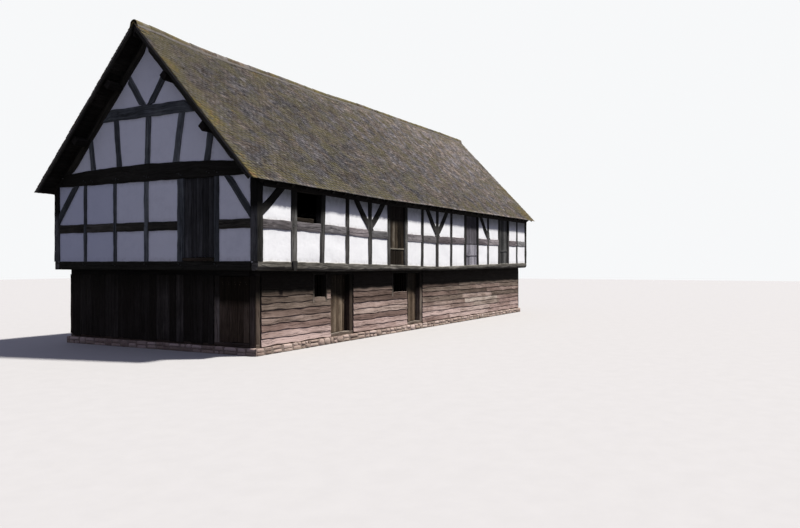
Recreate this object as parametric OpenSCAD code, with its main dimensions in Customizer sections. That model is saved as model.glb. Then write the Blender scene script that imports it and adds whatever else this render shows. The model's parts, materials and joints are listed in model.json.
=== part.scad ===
// Half timbered farm building: a boarded lower storey on a rubble plinth, a jettied upper
// storey of oak framing with white infill panels, and a steep plain tile roof.
// Origin: centre of the footprint at ground level. X runs along the long walls, the front
// faces -Y, and the gable with the loft door faces -X.

/* [Plan] */
// Length of the upper storey over its gable frames
wall_l = 18500; // [17700:100:22000]
// Width of the upper storey over its long walls
wall_w = 6850; // [6400:50:7600]
// How far the upper storey stands out past the lower one
jetty = 280; // [250:10:380]

/* [Lower storey] */
// Height of the rubble plinth
plinth_h = 170; // [100:10:300]
// How far the plinth stands out past the lower walls
plinth_out = 60; // [20:5:120]
// Depth of the ground sill beams on the plinth
ground_sill_d = 100; // [80:5:160]
// Height of the lower walls from sill beam to plate
lower_h = 1550; // [1400:10:2200]
// Depth of the lower wall plates
lower_plate_d = 160; // [100:5:180]
// Thickness of the lower frames, front to back
lower_t = 180; // [150:5:220]
// Width of the lower corner posts
lower_corner_w = 180; // [150:5:240]
// Thickness of the boarding
board_t = 30; // [20:1:40]
// Height of the window openings in the lower front wall
low_window_h = 620; // [400:10:800]
// Depth of the rails in the lower walls
low_rail_d = 100; // [70:5:150]
// Posts of the lower front wall: centre from the west upper corner, width
low_front_posts = [
    [1450, 150], [2535, 70], [3205, 230], [4365, 170], [5550, 150], [6720, 80], [7685, 90],
    [8640, 160], [9900, 150], [11200, 150], [12500, 150], [13900, 150], [15200, 150], [16600, 150]
];
// Bays of the lower front wall with a door, counted from the west
low_door_bays = [3, 7];
// Bays of the lower front wall with a window
low_window_bays = [2, 6];
// Posts of the lower back wall: centre from the west upper corner, width
low_back_posts = [
    [1450, 150], [2900, 150], [4365, 150], [5550, 150], [7100, 150], [8640, 150], [9900, 150],
    [11200, 150], [12500, 150], [13900, 150], [15200, 150], [16600, 150]
];
// Posts of the lower gable walls: centre from the front upper corner, width
low_gable_posts = [[1440, 160], [2750, 150], [4050, 150], [5300, 150]];

/* [Doors] */
// Thickness of a door's planks
plank_t = 28; // [22:1:36]
// Gap round a hinged door
door_gap = 8; // [6:0.5:12]
// Height of a door's ledges
ledge_h = 110; // [80:5:150]
// Thickness of a door's ledges
ledge_t = 25; // [18:1:30]
// Distance from the jamb to the hinge pins
pin_in = 30; // [26:1:45]
// Radius of the hinge pins
pin_r = 7; // [5:0.5:8]
// Running gap between a hinge pin and its strap's eye
pin_gap = 0.3; // [0.2:0.05:0.5]
// Height of the hinge straps
strap_h = 40; // [30:1:60]
// Thickness of the hinge straps
strap_t = 6; // [4:0.5:8]
// How far the west front door stands ajar
ajar_west = 8.5; // [0:0.5:30]
// How far the middle front door stands ajar
ajar_middle = 10; // [0:0.5:30]

/* [Floor] */
// Depth of the floor joists
joist_d = 150; // [120:5:240]
// Width of the floor joists
joist_w = 120; // [80:5:160]
// Distance between the floor joists
joist_pitch = 510; // [400:10:700]
// Distance from the gable frames' face to the first joist
first_joist = 650; // [600:10:800]
// Thickness of the floorboards
floor_t = 40; // [25:1:60]

/* [Upper storey] */
// Width of the upper sill beams
sill_w = 200; // [180:5:260]
// Thickness of the upper wall frames
frame_t = 160; // [130:5:190]
// Width of the corner posts on both faces
corner_w = 210; // [180:5:260]
// Height of the long walls from sill beam to wall plate
upper_h = 1680; // [1500:10:2200]
// Height of the mid rails' underside over the sill beams
rail_up = 740; // [600:10:900]
// Depth of the mid rails
rail_d = 220; // [120:5:240]
// Thickness of the infill panels
panel_t = 80; // [50:5:120]
// How far the panels stand back from the timbers' face
panel_in = 14; // [0:1:40]
// Posts of the upper long walls: centre from the west corner, width, lean of the head
posts = [
    [1380, 230, 0], [2550, 200, 60], [3750, 170, 0], [4940, 200, 0], [6020, 160, 0],
    [7100, 200, 0], [8200, 170, 20], [9320, 200, 0], [10460, 160, 0], [11700, 200, 0],
    [12900, 120, 0], [13920, 160, 0], [15090, 160, 0], [16170, 170, 0], [17250, 150, 0]
];
// Bays of the upper front wall with a loft door, counted from the west corner
loft_door_bays = [5, 10, 13];
// Bay of the upper front wall with the open hatch
hatch_bay = 1;
// Posts with a tree of two braces, which carry the roof trusses
tree_posts = [3, 7, 11];
// Height of the braces' feet over the sill beams
brace_up = 1010; // [900:10:1200]
// How far a tree brace runs along the wall
brace_run = 740; // [500:10:800]
// Width of the braces
brace_w = 150; // [100:5:180]
// Sideways bow of the braces
brace_bow = 45; // [0:5:80]
// How far the head of a tree post swells on each side
head_out = 55; // [0:5:80]
// How far a corner brace runs along the wall
corner_run = 680; // [500:10:900]
// How far up its post a corner brace starts, over the sill beams
corner_brace_up = 1140; // [1000:10:1250]
// Thickness of the loft doors
loft_door_t = 45; // [30:1:60]
// How far the loft doors stand back from the timbers' face
loft_door_in = 35; // [10:1:60]
// Gap at the sides of the loft doors
loft_gap = 4; // [2:0.5:8]
// Height of the low board in the hatch
hatch_board_h = 100; // [60:5:200]
// Length of the low board in the hatch
hatch_board_l = 700; // [500:10:850]

/* [Gables] */
// Height of the gable tie beams' underside over the top of the wall plates
tie_up = 110; // [60:5:160]
// Depth of the tie beams at their ends
tie_d = 300; // [240:5:360]
// Rise of the tie beams' top edge at mid-length
tie_camber = 140; // [0:5:200]
// Thickness of the trusses
truss_t = 180; // [165:5:220]
// Depth of the principal rafters
principal_d = 195; // [150:5:240]
// Height of the collars' underside over the gable tie beams' underside
collar_up = 1580; // [1400:10:1800]
// Depth of the collars
collar_d = 300; // [200:5:340]
// Posts under the gable tie beams: centre from the ridge line towards the back, width
gable_post_list = [[-2220, 150], [-1105, 220], [30, 150], [1125, 120], [2225, 120]];
// Bay of the west gable with the loft door, counted from the front corner
gable_door_bay = 1;
// Studs on the tie beams: foot from the ridge line, width, lean for each metre of height
gable_stud_list = [
    [-1895, 190, -200], [-925, 200, -170], [-5, 180, -40], [955, 180, 90], [1885, 180, 170]
];
// How far the gable corner braces run along the tie beam
gable_run = 650; // [500:10:750]
// Height of the gable corner braces' feet over the sill beams
gable_brace_up = 1110; // [1000:10:1250]
// Width of the gable braces
gable_brace_w = 160; // [120:5:180]
// Width of the struts on the collar
strut_w = 190; // [120:5:195]
// Half the distance between the struts' feet on the collar
strut_foot = 125; // [120:5:200]
// How far a strut leans outwards
strut_run = 520; // [400:10:600]
// Height of a strut's head over the collar
strut_h = 740; // [600:10:800]
// Height of the threshold beam under the gable's loft door
threshold_h = 80; // [60:5:120]
// How far the threshold beam stands out past the wall
threshold_out = 45; // [20:5:80]

/* [Roof] */
// Pitch of the roof in degrees
pitch = 47.2; // [44:0.1:50]
// Height of the wall plates' outer face under the rafters
plate_face = 100; // [60:5:115]
// Depth of the wall plates
plate_d = 150; // [120:5:180]
// How far the tiles reach past the long walls
eave_out = 250; // [150:10:400]
// How far the tiles reach past the gables
verge_out = 430; // [300:10:700]
// Thickness of the tiles with their battens
tile_t = 80; // [50:5:100]
// Gap left where sloping faces seat on each other
seat = 0.3; // [0.1:0.1:1]
// Depth of the common rafters
rafter_d = 120; // [80:5:140]
// Width of the common rafters
rafter_w = 90; // [60:5:120]
// Distance between the common rafters
rafter_pitch = 570; // [450:10:700]
// How far the rafter feet stay back from the tiles' edge
rafter_back = 60; // [30:5:100]
// Distance of the purlins from the ridge line, on plan
purlin_at = [1000, 2200];
// Width of the purlins along the slope
purlin_w = 180; // [140:5:220]
// Depth of the purlins
purlin_d = 160; // [120:5:180]
// Width of the ridge beam
ridge_w = 40; // [30:5:60]
// Depth of the ridge beam
ridge_d = 250; // [200:10:300]
// Radius of the ridge tiles
ridge_r = 130; // [100:5:160]
// How far the ridge tiles stand over the meeting of the slopes
ridge_up = 30; // [20:5:80]
// Thickness of the bargeboards
barge_t = 50; // [30:5:70]
// Depth of the bargeboards
barge_d = 70; // [60:5:240]

/* [Hidden] */
eps = 1;
hx = wall_l / 2;
hy = wall_w / 2;
lx = hx - jetty;
ly = hy - jetty;
low_z = plinth_h + ground_sill_d;
low_top = low_z + lower_h;
jetty_z = low_top + lower_plate_d;
sill_d = joist_d + floor_t;
up_z = jetty_z + sill_d;
plate_z = up_z + upper_h;
plate_top = plate_z + plate_d;
rail_z = up_z + rail_up;
tie_z = plate_top + tie_up;
collar_z = tie_z + collar_up;
roof_t = tile_t + rafter_d;
panel_down = roof_t + principal_d;
apex = plate_z + plate_face + roof_t / cos(pitch) + hy * tan(pitch);
eave_y = hy + eave_out;
verge_x = hx + verge_out;
wall_posts = before(posts, wall_l - corner_w);
front_low_posts = before(low_front_posts, wall_l - jetty - lower_corner_w);
back_low_posts = before(low_back_posts, wall_l - jetty - lower_corner_w);
truss_x = [for (i = tree_posts) wall_posts[i][0] - hx];
low_window_z = low_top - low_window_h;
door_h = lower_h - 2 * door_gap;
pin_y = plank_t + 2 * pin_r;
eye_r = 2 * pin_r + 1;
strap_zs = [door_h * 0.2, door_h * 0.78];
oak = [0.27, 0.24, 0.21];
grey_oak = [0.48, 0.45, 0.41];
dark_oak = [0.17, 0.15, 0.14];
board_grey = [0.62, 0.55, 0.50];
plaster = [0.93, 0.93, 0.91];
stone = [0.50, 0.46, 0.41];
tile = [0.36, 0.32, 0.28];
iron = [0.13, 0.12, 0.12];

// Height of a plane that lies a square depth under the tiles, at a distance from the ridge
function roof_z(y, down) = apex - abs(y) * tan(pitch) - down / cos(pitch);
// Point that lies square under the tiles, below their surface at a distance from the ridge
function square_in(y, down) = [y - down * sin(pitch), roof_z(y, 0) - down * cos(pitch)];
// The posts of a list that stand before the far corner post
function before(list, face) = [for (p = list) if (p[0] + p[1] / 2 < face) p];
// Left and right face of a bay between two posts of a list, whose ends are the corner posts
function bay_from(list, i, first) = i == 0 ? first : list[i - 1][0] + list[i - 1][1] / 2;
function bay_to(list, i, last) = i == len(list) ? last : list[i][0] - list[i][1] / 2;
function is_in(v, list) = len([for (k = list) if (k == v) 1]) > 0;

// A drawing in X and Z becomes a piece of the front wall, set back from its face
module on_front(face, back, t)
    translate([0, back + t - face, 0]) rotate([90, 0, 0]) linear_extrude(t) children();

// A drawing in Y and Z becomes a piece of the west gable, set back from its face
module on_gable(face, back, t)
    translate([back - face, 0, 0]) rotate([90, 0, 90]) linear_extrude(t) children();

module front_and_back() {
    children();
    mirror([0, 1, 0]) children();
}

module both_gables() {
    children();
    mirror([1, 0, 0]) children();
}

module bar(x0, x1, z0, z1) translate([x0, z0]) square([x1 - x0, z1 - z0]);

// Everything under a plane of the roof, as a drawing in Y and Z
module under_roof(down) polygon([
    [-2 * hy, 0], [2 * hy, 0], [2 * hy, roof_z(2 * hy, down)],
    [0, roof_z(0, down)], [-2 * hy, roof_z(2 * hy, down)]
]);

// A layer of a slope between two depths under the tiles, from the ridge to the eave
module slope_layer(d0, d1, from_ridge, to_y) polygon([
    [from_ridge, roof_z(from_ridge, d0)], square_in(to_y, d0),
    square_in(to_y, d1 - seat), [from_ridge, roof_z(from_ridge, d1 - seat)]
]);

// A post that may lean, drawn from foot to head
module leaning(x, w, z0, z1, lean)
    polygon([[x - w / 2, z0], [x + w / 2, z0], [x + w / 2 + lean, z1], [x - w / 2 + lean, z1]]);

// A bowed brace: its middle line is an arc-like curve from the foot to the head
module brace(p, q, w, bow) {
    n = 6;
    d = q - p;
    u = d / norm(d);
    side = [-u[1], u[0]];
    mid = [for (k = [0:n]) let (t = k / n) p - u * w * (1 - t) + d * t + u * w * t + side * 4 * bow * t * (1 - t)];
    polygon(concat(
        [for (k = [0:n]) mid[k] + side * w / 2],
        [for (k = [n:-1:0]) mid[k] - side * w / 2]
    ));
}

// Upper long walls, drawn in X and Z

module post_2d(i) {
    x = wall_posts[i][0] - hx;
    w = wall_posts[i][1];
    leaning(x, w, up_z, plate_z, wall_posts[i][2]);
    if (is_in(i, tree_posts)) {
        h = up_z + brace_up;
        polygon([
            [x - w / 2, h - 160], [x + w / 2, h - 160], [x + w / 2 + head_out, h - 20],
            [x + w / 2 + head_out, h + 90], [x + w / 2, h + 220], [x - w / 2, h + 220],
            [x - w / 2 - head_out, h + 90], [x - w / 2 - head_out, h - 20]
        ]);
    }
}

module posts_2d() for (i = [0:len(wall_posts) - 1]) post_2d(i);

module wall_2d(z0, z1) bar(corner_w - hx, hx - corner_w, z0, z1);

// One bay between the middles of its posts
module bay_2d(i, z0, z1) bar(
    (i == 0 ? 0 : wall_posts[i - 1][0]) - hx,
    (i == len(wall_posts) ? wall_l : wall_posts[i][0]) - hx, z0, z1
);

module braces_2d(front) intersection() {
    difference() {
        union() {
            for (i = tree_posts) {
                x = wall_posts[i][0] - hx;
                foot = up_z + brace_up;
                brace([x, foot], [x - brace_run, plate_z], brace_w, brace_bow);
                if (!front || i != tree_posts[len(tree_posts) - 1])
                    brace([x, foot], [x + brace_run, plate_z], brace_w, -brace_bow);
            }
            for (s = front ? [-1] : [-1, 1])
                brace([s * (hx - corner_w), up_z + corner_brace_up],
                    [s * (hx - corner_w - corner_run), plate_z], brace_w, s * brace_bow / 2);
        }
        posts_2d();
    }
    wall_2d(rail_z + rail_d, plate_z);
}

module rails_2d(front) difference() {
    wall_2d(rail_z, rail_z + rail_d);
    posts_2d();
    if (front) for (i = loft_door_bays) bay_2d(i, up_z, plate_z);
}

module panels_2d(front) difference() {
    wall_2d(up_z, plate_z);
    posts_2d();
    rails_2d(front);
    braces_2d(front);
    if (front) {
        for (i = loft_door_bays) bay_2d(i, up_z, plate_z);
        bay_2d(hatch_bay, rail_z, plate_z);
    }
}

module front_posts() color(oak) on_front(hy, 0, frame_t) posts_2d();

module back_posts() color(oak) mirror([0, 1, 0]) on_front(hy, 0, frame_t) posts_2d();

module long_rails() color(oak) {
    on_front(hy, 0, frame_t) rails_2d(true);
    mirror([0, 1, 0]) on_front(hy, 0, frame_t) rails_2d(false);
}

module long_braces() color(oak) {
    on_front(hy, 0, frame_t) braces_2d(true);
    mirror([0, 1, 0]) on_front(hy, 0, frame_t) braces_2d(false);
}

module front_panels() color(plaster) on_front(hy, panel_in, panel_t) panels_2d(true);

module back_panels() color(plaster)
    mirror([0, 1, 0]) on_front(hy, panel_in, panel_t) panels_2d(false);

module sills_long() color(grey_oak) front_and_back()
    translate([-hx, -hy, jetty_z]) cube([wall_l, sill_w, sill_d]);

module sills_gable() color(grey_oak) both_gables()
    translate([-hx, sill_w - hy, jetty_z]) cube([sill_w, wall_w - 2 * sill_w, sill_d]);

module corner_posts() color(oak) both_gables() on_gable(hx, 0, corner_w) intersection() {
    union() for (s = [-1, 1])
        bar(s < 0 ? -hy : hy - corner_w, s < 0 ? corner_w - hy : hy, up_z, tie_z);
    under_roof(roof_t);
}

module wall_plates() color(dark_oak) translate([corner_w, 0, 0])
    on_gable(hx, 0, wall_l - 2 * corner_w) intersection() {
        union() for (s = [0, 1]) mirror([s, 0]) bar(-hy, frame_t - hy, plate_z, plate_top);
        under_roof(roof_t);
    }

// Gables, drawn in Y and Z

module tie_2d(z) intersection() {
    polygon([
        [-hy, z], [hy, z], [hy, z + tie_d], [hy / 2, z + tie_d + tie_camber * 0.75],
        [0, z + tie_d + tie_camber], [-hy / 2, z + tie_d + tie_camber * 0.75], [-hy, z + tie_d]
    ]);
    under_roof(roof_t);
}

module gable_posts_2d() for (p = gable_post_list)
    leaning(p[0], p[1], up_z, tie_z, 0);

module gable_bay_2d(i, z0, z1) bar(
    i == 0 ? -hy : gable_post_list[i - 1][0],
    i == len(gable_post_list) ? hy : gable_post_list[i][0], z0, z1
);

module gable_wall_2d(z0, z1) bar(corner_w - hy, hy - corner_w, z0, z1);

module triangle_2d() difference() {
    intersection() {
        bar(-hy, hy, tie_z, apex);
        under_roof(panel_down);
    }
    tie_2d(tie_z);
}

module collar_2d() intersection() {
    bar(-hy, hy, collar_z, collar_z + collar_d);
    under_roof(panel_down);
}

module gable_studs_2d() intersection() {
    union() for (p = gable_stud_list)
        leaning(p[0], p[1], tie_z + tie_d, collar_z, p[2] * (collar_z - tie_z - tie_d) / 1000);
    difference() {
        triangle_2d();
        bar(-hy, hy, collar_z, apex);
    }
}

module gable_rails_2d(west) difference() {
    gable_wall_2d(rail_z, rail_z + rail_d);
    gable_posts_2d();
    if (west) gable_bay_2d(gable_door_bay, up_z, tie_z);
}

module gable_braces_2d() intersection() {
    difference() {
        union() for (s = [-1, 1])
            brace([s * (hy - corner_w), up_z + gable_brace_up],
                [s * (hy - corner_w - gable_run), tie_z], gable_brace_w, 0);
        gable_posts_2d();
    }
    gable_wall_2d(up_z, tie_z);
}

module struts_2d() intersection() {
    union() for (s = [-1, 1])
        brace([s * strut_foot, collar_z + collar_d],
            [s * (strut_foot + strut_run), collar_z + collar_d + strut_h], strut_w, 0);
    difference() {
        triangle_2d();
        bar(-hy, hy, tie_z, collar_z + collar_d);
    }
}

module gable_panels_2d(west) {
    difference() {
        gable_wall_2d(up_z, tie_z);
        gable_posts_2d();
        gable_rails_2d(west);
        gable_braces_2d();
        if (west) gable_bay_2d(gable_door_bay, up_z, tie_z);
    }
    difference() {
        triangle_2d();
        collar_2d();
        gable_studs_2d();
        struts_2d();
    }
}

module gable_posts() color(oak) both_gables() on_gable(hx, 0, frame_t) {
    gable_posts_2d();
    gable_studs_2d();
}

module gable_rails() color(oak) {
    on_gable(hx, 0, frame_t) gable_rails_2d(true);
    mirror([1, 0, 0]) on_gable(hx, 0, frame_t) gable_rails_2d(false);
}

module gable_braces() color(oak) both_gables() on_gable(hx, 0, frame_t) {
    gable_braces_2d();
    struts_2d();
}

module gable_panels() color(plaster) {
    on_gable(hx, panel_in, panel_t) gable_panels_2d(true);
    mirror([1, 0, 0]) on_gable(hx, panel_in, panel_t) gable_panels_2d(false);
}

module principal_2d(z) difference() {
    intersection() {
        union() for (s = [0, 1]) mirror([s, 0])
            slope_layer(roof_t, panel_down, ridge_w / 2, eave_y);
        bar(-hy, hy, z + tie_d, apex);
    }
    tie_2d(z);
}

// Gable frames and inner trusses
module each_truss_x() for (x = truss_x) translate([x - truss_t / 2, 0, 0]) children();

module tie_beams() color(oak) {
    both_gables() on_gable(hx, 0, truss_t) tie_2d(tie_z);
    each_truss_x() on_gable(0, 0, truss_t) tie_2d(plate_top);
}

module principals() color(oak) {
    both_gables() on_gable(hx, 0, truss_t) principal_2d(tie_z);
    each_truss_x() on_gable(0, 0, truss_t) principal_2d(plate_top);
}

module collars() color(oak) {
    both_gables() on_gable(hx, 0, truss_t) collar_2d();
    each_truss_x() on_gable(0, 0, truss_t) collar_2d();
}

// Roof

module purlins() color(dark_oak) {
    faces = concat(
        [barge_t - verge_x, -hx], [truss_t - hx],
        [for (x = truss_x) each [x - truss_t / 2, x + truss_t / 2]],
        [hx - truss_t], [hx, verge_x - barge_t]
    );
    for (k = [0:2:len(faces) - 1], y = purlin_at) front_and_back()
        translate([faces[k], -y, roof_z(y, roof_t)]) rotate([pitch, 0, 0])
            translate([0, -purlin_w / 2, -purlin_d])
                cube([faces[k + 1] - faces[k], purlin_w, purlin_d]);
}

module ridge_beam() color(dark_oak)
    translate([-verge_x, -ridge_w / 2, roof_z(ridge_w / 2, tile_t) - ridge_d])
        cube([2 * verge_x, ridge_w, ridge_d]);

module rafters() color(dark_oak) {
    n = round((wall_l - truss_t) / rafter_pitch);
    step = (wall_l - truss_t) / n;
    for (k = [0:n])
        translate([truss_t / 2 - hx + k * step - rafter_w / 2, 0, 0]) on_gable(0, 0, rafter_w)
            for (s = [0, 1]) mirror([s, 0])
                slope_layer(tile_t, roof_t, ridge_w / 2, eave_y - rafter_back);
}

module roof_front() color(tile) on_gable(verge_x, 0, 2 * verge_x)
    mirror([1, 0]) slope_layer(0, tile_t, 0, eave_y);

module roof_back() color(tile) on_gable(verge_x, 0, 2 * verge_x)
    slope_layer(0, tile_t, 0, eave_y);

module ridge_tiles() color(tile) on_gable(verge_x, 0, 2 * verge_x) difference() {
    translate([0, apex + ridge_up - ridge_r]) circle(ridge_r, $fn = 64);
    under_roof(-seat);
}

module bargeboards() color(grey_oak) both_gables() on_gable(verge_x, 0, barge_t)
    for (s = [0, 1]) mirror([s, 0])
        slope_layer(tile_t, tile_t + barge_d, ridge_w / 2, eave_y - rafter_back);

// Floor of the upper storey

module floor_joists() color(dark_oak) {
    run = wall_l - 2 * first_joist;
    n = round(run / joist_pitch);
    for (k = [0:n])
        translate([k * run / n - run / 2 - joist_w / 2, sill_w - hy, jetty_z])
            cube([joist_w, wall_w - 2 * sill_w, joist_d]);
}

module jetty_joists() color(dark_oak) both_gables() {
    run = wall_w - 2 * sill_w - joist_w;
    n = round(run / (2 * joist_pitch));
    for (k = [0:n])
        translate([sill_w - hx, k * run / n - run / 2 - joist_w / 2, jetty_z])
            cube([first_joist - joist_w / 2 - sill_w, joist_w, joist_d]);
}

module floorboards() color(grey_oak)
    translate([sill_w - hx, sill_w - hy, jetty_z + joist_d])
        cube([wall_l - 2 * sill_w, wall_w - 2 * sill_w, floor_t]);

// Lower storey

module plinth_long() color(stone) front_and_back()
    translate([-lx - plinth_out, -ly - plinth_out, 0])
        cube([2 * (lx + plinth_out), lower_t + 2 * plinth_out, plinth_h]);

module plinth_gable() color(stone) both_gables()
    translate([-lx - plinth_out, lower_t + plinth_out - ly, 0])
        cube([lower_t + 2 * plinth_out, 2 * (ly - lower_t - plinth_out), plinth_h]);

module ground_sills_long() color(grey_oak) front_and_back()
    translate([-lx, -ly, plinth_h]) cube([2 * lx, lower_t, ground_sill_d]);

module ground_sills_gable() color(grey_oak) both_gables()
    translate([-lx, lower_t - ly, plinth_h]) cube([lower_t, 2 * (ly - lower_t), ground_sill_d]);

module lower_plates_long() color(grey_oak) front_and_back()
    translate([-lx, -ly, low_top]) cube([2 * lx, lower_t, lower_plate_d]);

module lower_plates_gable() color(grey_oak) both_gables()
    translate([-lx, lower_t - ly, low_top])
        cube([lower_t, 2 * (ly - lower_t), lower_plate_d]);

module lower_posts() color(grey_oak) {
    both_gables() front_and_back()
        translate([-lx, -ly, low_z]) cube([lower_corner_w, lower_t, lower_h]);
    on_front(ly, 0, lower_t) for (p = front_low_posts)
        leaning(p[0] - hx, p[1], low_z, low_top, 0);
    mirror([0, 1, 0]) on_front(ly, 0, lower_t) for (p = back_low_posts)
        leaning(p[0] - hx, p[1], low_z, low_top, 0);
    both_gables() on_gable(lx, 0, lower_t) for (p = low_gable_posts)
        leaning(p[0] - hy, p[1], low_z, low_top, 0);
}

// One bay of a lower long wall, between the faces of its posts
module low_bay(list, i, z0, z1) bar(
    bay_from(list, i, jetty + lower_corner_w) - hx,
    bay_to(list, i, wall_l - jetty - lower_corner_w) - hx, z0, z1
);

module low_gable_bay(i, z0, z1) bar(
    bay_from(low_gable_posts, i, jetty + lower_t) - hy,
    bay_to(low_gable_posts, i, wall_w - jetty - lower_t) - hy, z0, z1
);

module weatherboards() color(board_grey) {
    on_front(ly, 0, board_t) for (i = [0:len(front_low_posts)])
        if (!is_in(i, low_door_bays))
            low_bay(front_low_posts, i, low_z, is_in(i, low_window_bays) ? low_window_z : low_top);
    mirror([0, 1, 0]) on_front(ly, 0, board_t) for (i = [0:len(back_low_posts)])
        low_bay(back_low_posts, i, low_z, low_top);
}

module gable_boards() color(board_grey) {
    on_gable(lx, 0, board_t) for (i = [1:len(low_gable_posts)])
        low_gable_bay(i, low_z, low_top);
    mirror([1, 0, 0]) on_gable(lx, 0, board_t) for (i = [0:len(low_gable_posts)])
        low_gable_bay(i, low_z, low_top);
}

module lower_rails() color(grey_oak) {
    z = low_window_z - low_rail_d;
    on_front(ly, board_t, lower_t - board_t) for (i = low_window_bays)
        low_bay(front_low_posts, i, z, low_window_z);
    on_gable(lx, board_t, lower_t - board_t) for (i = [1:len(low_gable_posts)])
        low_gable_bay(i, z, low_window_z);
    mirror([1, 0, 0]) on_gable(lx, board_t, lower_t - board_t)
        for (i = [0:len(low_gable_posts)]) low_gable_bay(i, z, low_window_z);
}

// Hinged doors. Each is drawn about its hinge line, with its inner face towards +Y

module plank_door(open_w) {
    w = open_w - 2 * door_gap;
    x0 = door_gap - pin_in;
    difference() {
        union() {
            translate([x0, -pin_y, 0]) cube([w, plank_t, door_h]);
            for (f = [0.07, 0.46, 0.86])
                translate([x0 + 40, plank_t - pin_y, f * door_h]) cube([w - 80, ledge_t, ledge_h]);
            for (z = strap_zs) {
                translate([0, plank_t - pin_y, z]) cube([w * 0.7, strap_t, strap_h]);
                translate([0, 0, z]) cylinder(r = eye_r, h = strap_h, $fn = 48);
            }
        }
        for (z = strap_zs)
            translate([0, 0, z - eps]) cylinder(r = pin_r + pin_gap, h = strap_h + 2 * eps, $fn = 48);
    }
}

module pintles() for (z = strap_zs) {
    translate([0, 0, z - pin_gap - 2 * pin_r]) cylinder(r = pin_r, h = strap_h + 4 * pin_r, $fn = 48);
    translate([-pin_in, -pin_r, z - pin_gap - 2 * pin_r]) cube([pin_in, 2 * pin_r, 2 * pin_r]);
}

// Places a front door's hinge line at the west side of its bay
module at_front_hinge(i) translate([
    bay_from(front_low_posts, i, 0) - hx + pin_in, pin_y - ly, low_z + door_gap
]) children();

// Places the gable door's hinge line at the side of its bay away from the corner
module at_gable_hinge() translate([
    pin_y - lx, bay_to(low_gable_posts, 0, 0) - hy - pin_in, low_z + door_gap
]) rotate([0, 0, -90]) children();

function low_bay_w(i) = bay_to(front_low_posts, i, 0) - bay_from(front_low_posts, i, 0);

module door_front_west() color(board_grey) at_front_hinge(low_door_bays[0])
    rotate([0, 0, ajar_west]) plank_door(low_bay_w(low_door_bays[0]));

module door_front_middle() color(board_grey) at_front_hinge(low_door_bays[1])
    rotate([0, 0, ajar_middle]) plank_door(low_bay_w(low_door_bays[1]));

module door_gable() color(board_grey) at_gable_hinge()
    plank_door(bay_to(low_gable_posts, 0, 0) - jetty - lower_t);

module door_pintles() color(iron) {
    for (i = low_door_bays) at_front_hinge(i) pintles();
    at_gable_hinge() pintles();
}

// Fixed doors and boards of the upper storey

module loft_doors() color(board_grey) {
    on_front(hy, loft_door_in, loft_door_t) for (i = loft_door_bays)
        bar(bay_from(wall_posts, i, 0) - hx + loft_gap, bay_to(wall_posts, i, 0) - hx - loft_gap,
            up_z, plate_z - loft_gap);
    on_gable(hx, loft_door_in, loft_door_t)
        bar(bay_from(gable_post_list, gable_door_bay, 0) + loft_gap,
            bay_to(gable_post_list, gable_door_bay, 0) - loft_gap,
            up_z + threshold_h, tie_z - loft_gap);
}

module loft_boards() color(grey_oak) {
    on_gable(hx + threshold_out, 0, threshold_out + frame_t)
        bar(bay_from(gable_post_list, gable_door_bay, 0),
            bay_to(gable_post_list, gable_door_bay, 0), up_z, up_z + threshold_h);
    on_front(hy, panel_in, board_t)
        bar(bay_from(wall_posts, hatch_bay, 0) - hx, bay_from(wall_posts, hatch_bay, 0) - hx + hatch_board_l,
            rail_z + rail_d, rail_z + rail_d + hatch_board_h);
}

plinth_long();
plinth_gable();
ground_sills_long();
ground_sills_gable();
lower_posts();
lower_rails();
lower_plates_long();
lower_plates_gable();
weatherboards();
gable_boards();
door_front_west();
door_front_middle();
door_gable();
door_pintles();
floor_joists();
jetty_joists();
floorboards();
sills_long();
sills_gable();
corner_posts();
front_posts();
back_posts();
long_rails();
long_braces();
front_panels();
back_panels();
wall_plates();
gable_posts();
gable_rails();
gable_braces();
gable_panels();
tie_beams();
collars();
principals();
loft_doors();
loft_boards();
purlins();
ridge_beam();
rafters();
roof_front();
roof_back();
ridge_tiles();
bargeboards();
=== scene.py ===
# Half timbered house: weathered oak frame, lime plaster, waney boards, plank doors and an old clay tile roof
import json
import math

import bpy
import numpy as np
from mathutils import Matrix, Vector


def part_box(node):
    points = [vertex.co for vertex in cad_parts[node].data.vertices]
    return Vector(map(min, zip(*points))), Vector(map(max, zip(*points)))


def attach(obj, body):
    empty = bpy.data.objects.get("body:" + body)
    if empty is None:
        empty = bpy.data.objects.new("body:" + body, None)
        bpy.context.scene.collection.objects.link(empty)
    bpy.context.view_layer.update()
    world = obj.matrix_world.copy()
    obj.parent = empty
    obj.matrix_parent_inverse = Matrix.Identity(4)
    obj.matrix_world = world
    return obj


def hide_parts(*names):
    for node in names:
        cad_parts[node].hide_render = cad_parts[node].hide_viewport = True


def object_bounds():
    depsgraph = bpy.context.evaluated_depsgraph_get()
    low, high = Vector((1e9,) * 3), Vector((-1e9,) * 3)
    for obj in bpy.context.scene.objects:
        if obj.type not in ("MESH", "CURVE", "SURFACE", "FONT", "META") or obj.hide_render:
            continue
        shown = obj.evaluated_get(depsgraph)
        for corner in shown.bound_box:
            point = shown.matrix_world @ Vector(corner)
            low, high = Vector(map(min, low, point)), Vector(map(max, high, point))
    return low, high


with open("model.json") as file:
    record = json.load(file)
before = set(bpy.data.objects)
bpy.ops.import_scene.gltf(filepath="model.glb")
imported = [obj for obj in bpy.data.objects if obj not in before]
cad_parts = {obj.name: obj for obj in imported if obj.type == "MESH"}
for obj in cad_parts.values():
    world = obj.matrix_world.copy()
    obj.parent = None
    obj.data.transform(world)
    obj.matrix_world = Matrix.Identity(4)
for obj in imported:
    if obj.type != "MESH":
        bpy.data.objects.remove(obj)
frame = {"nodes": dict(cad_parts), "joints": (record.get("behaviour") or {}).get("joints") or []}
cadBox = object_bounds()
scene = bpy.context.scene
scene.view_settings.view_transform = "Standard"
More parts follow.
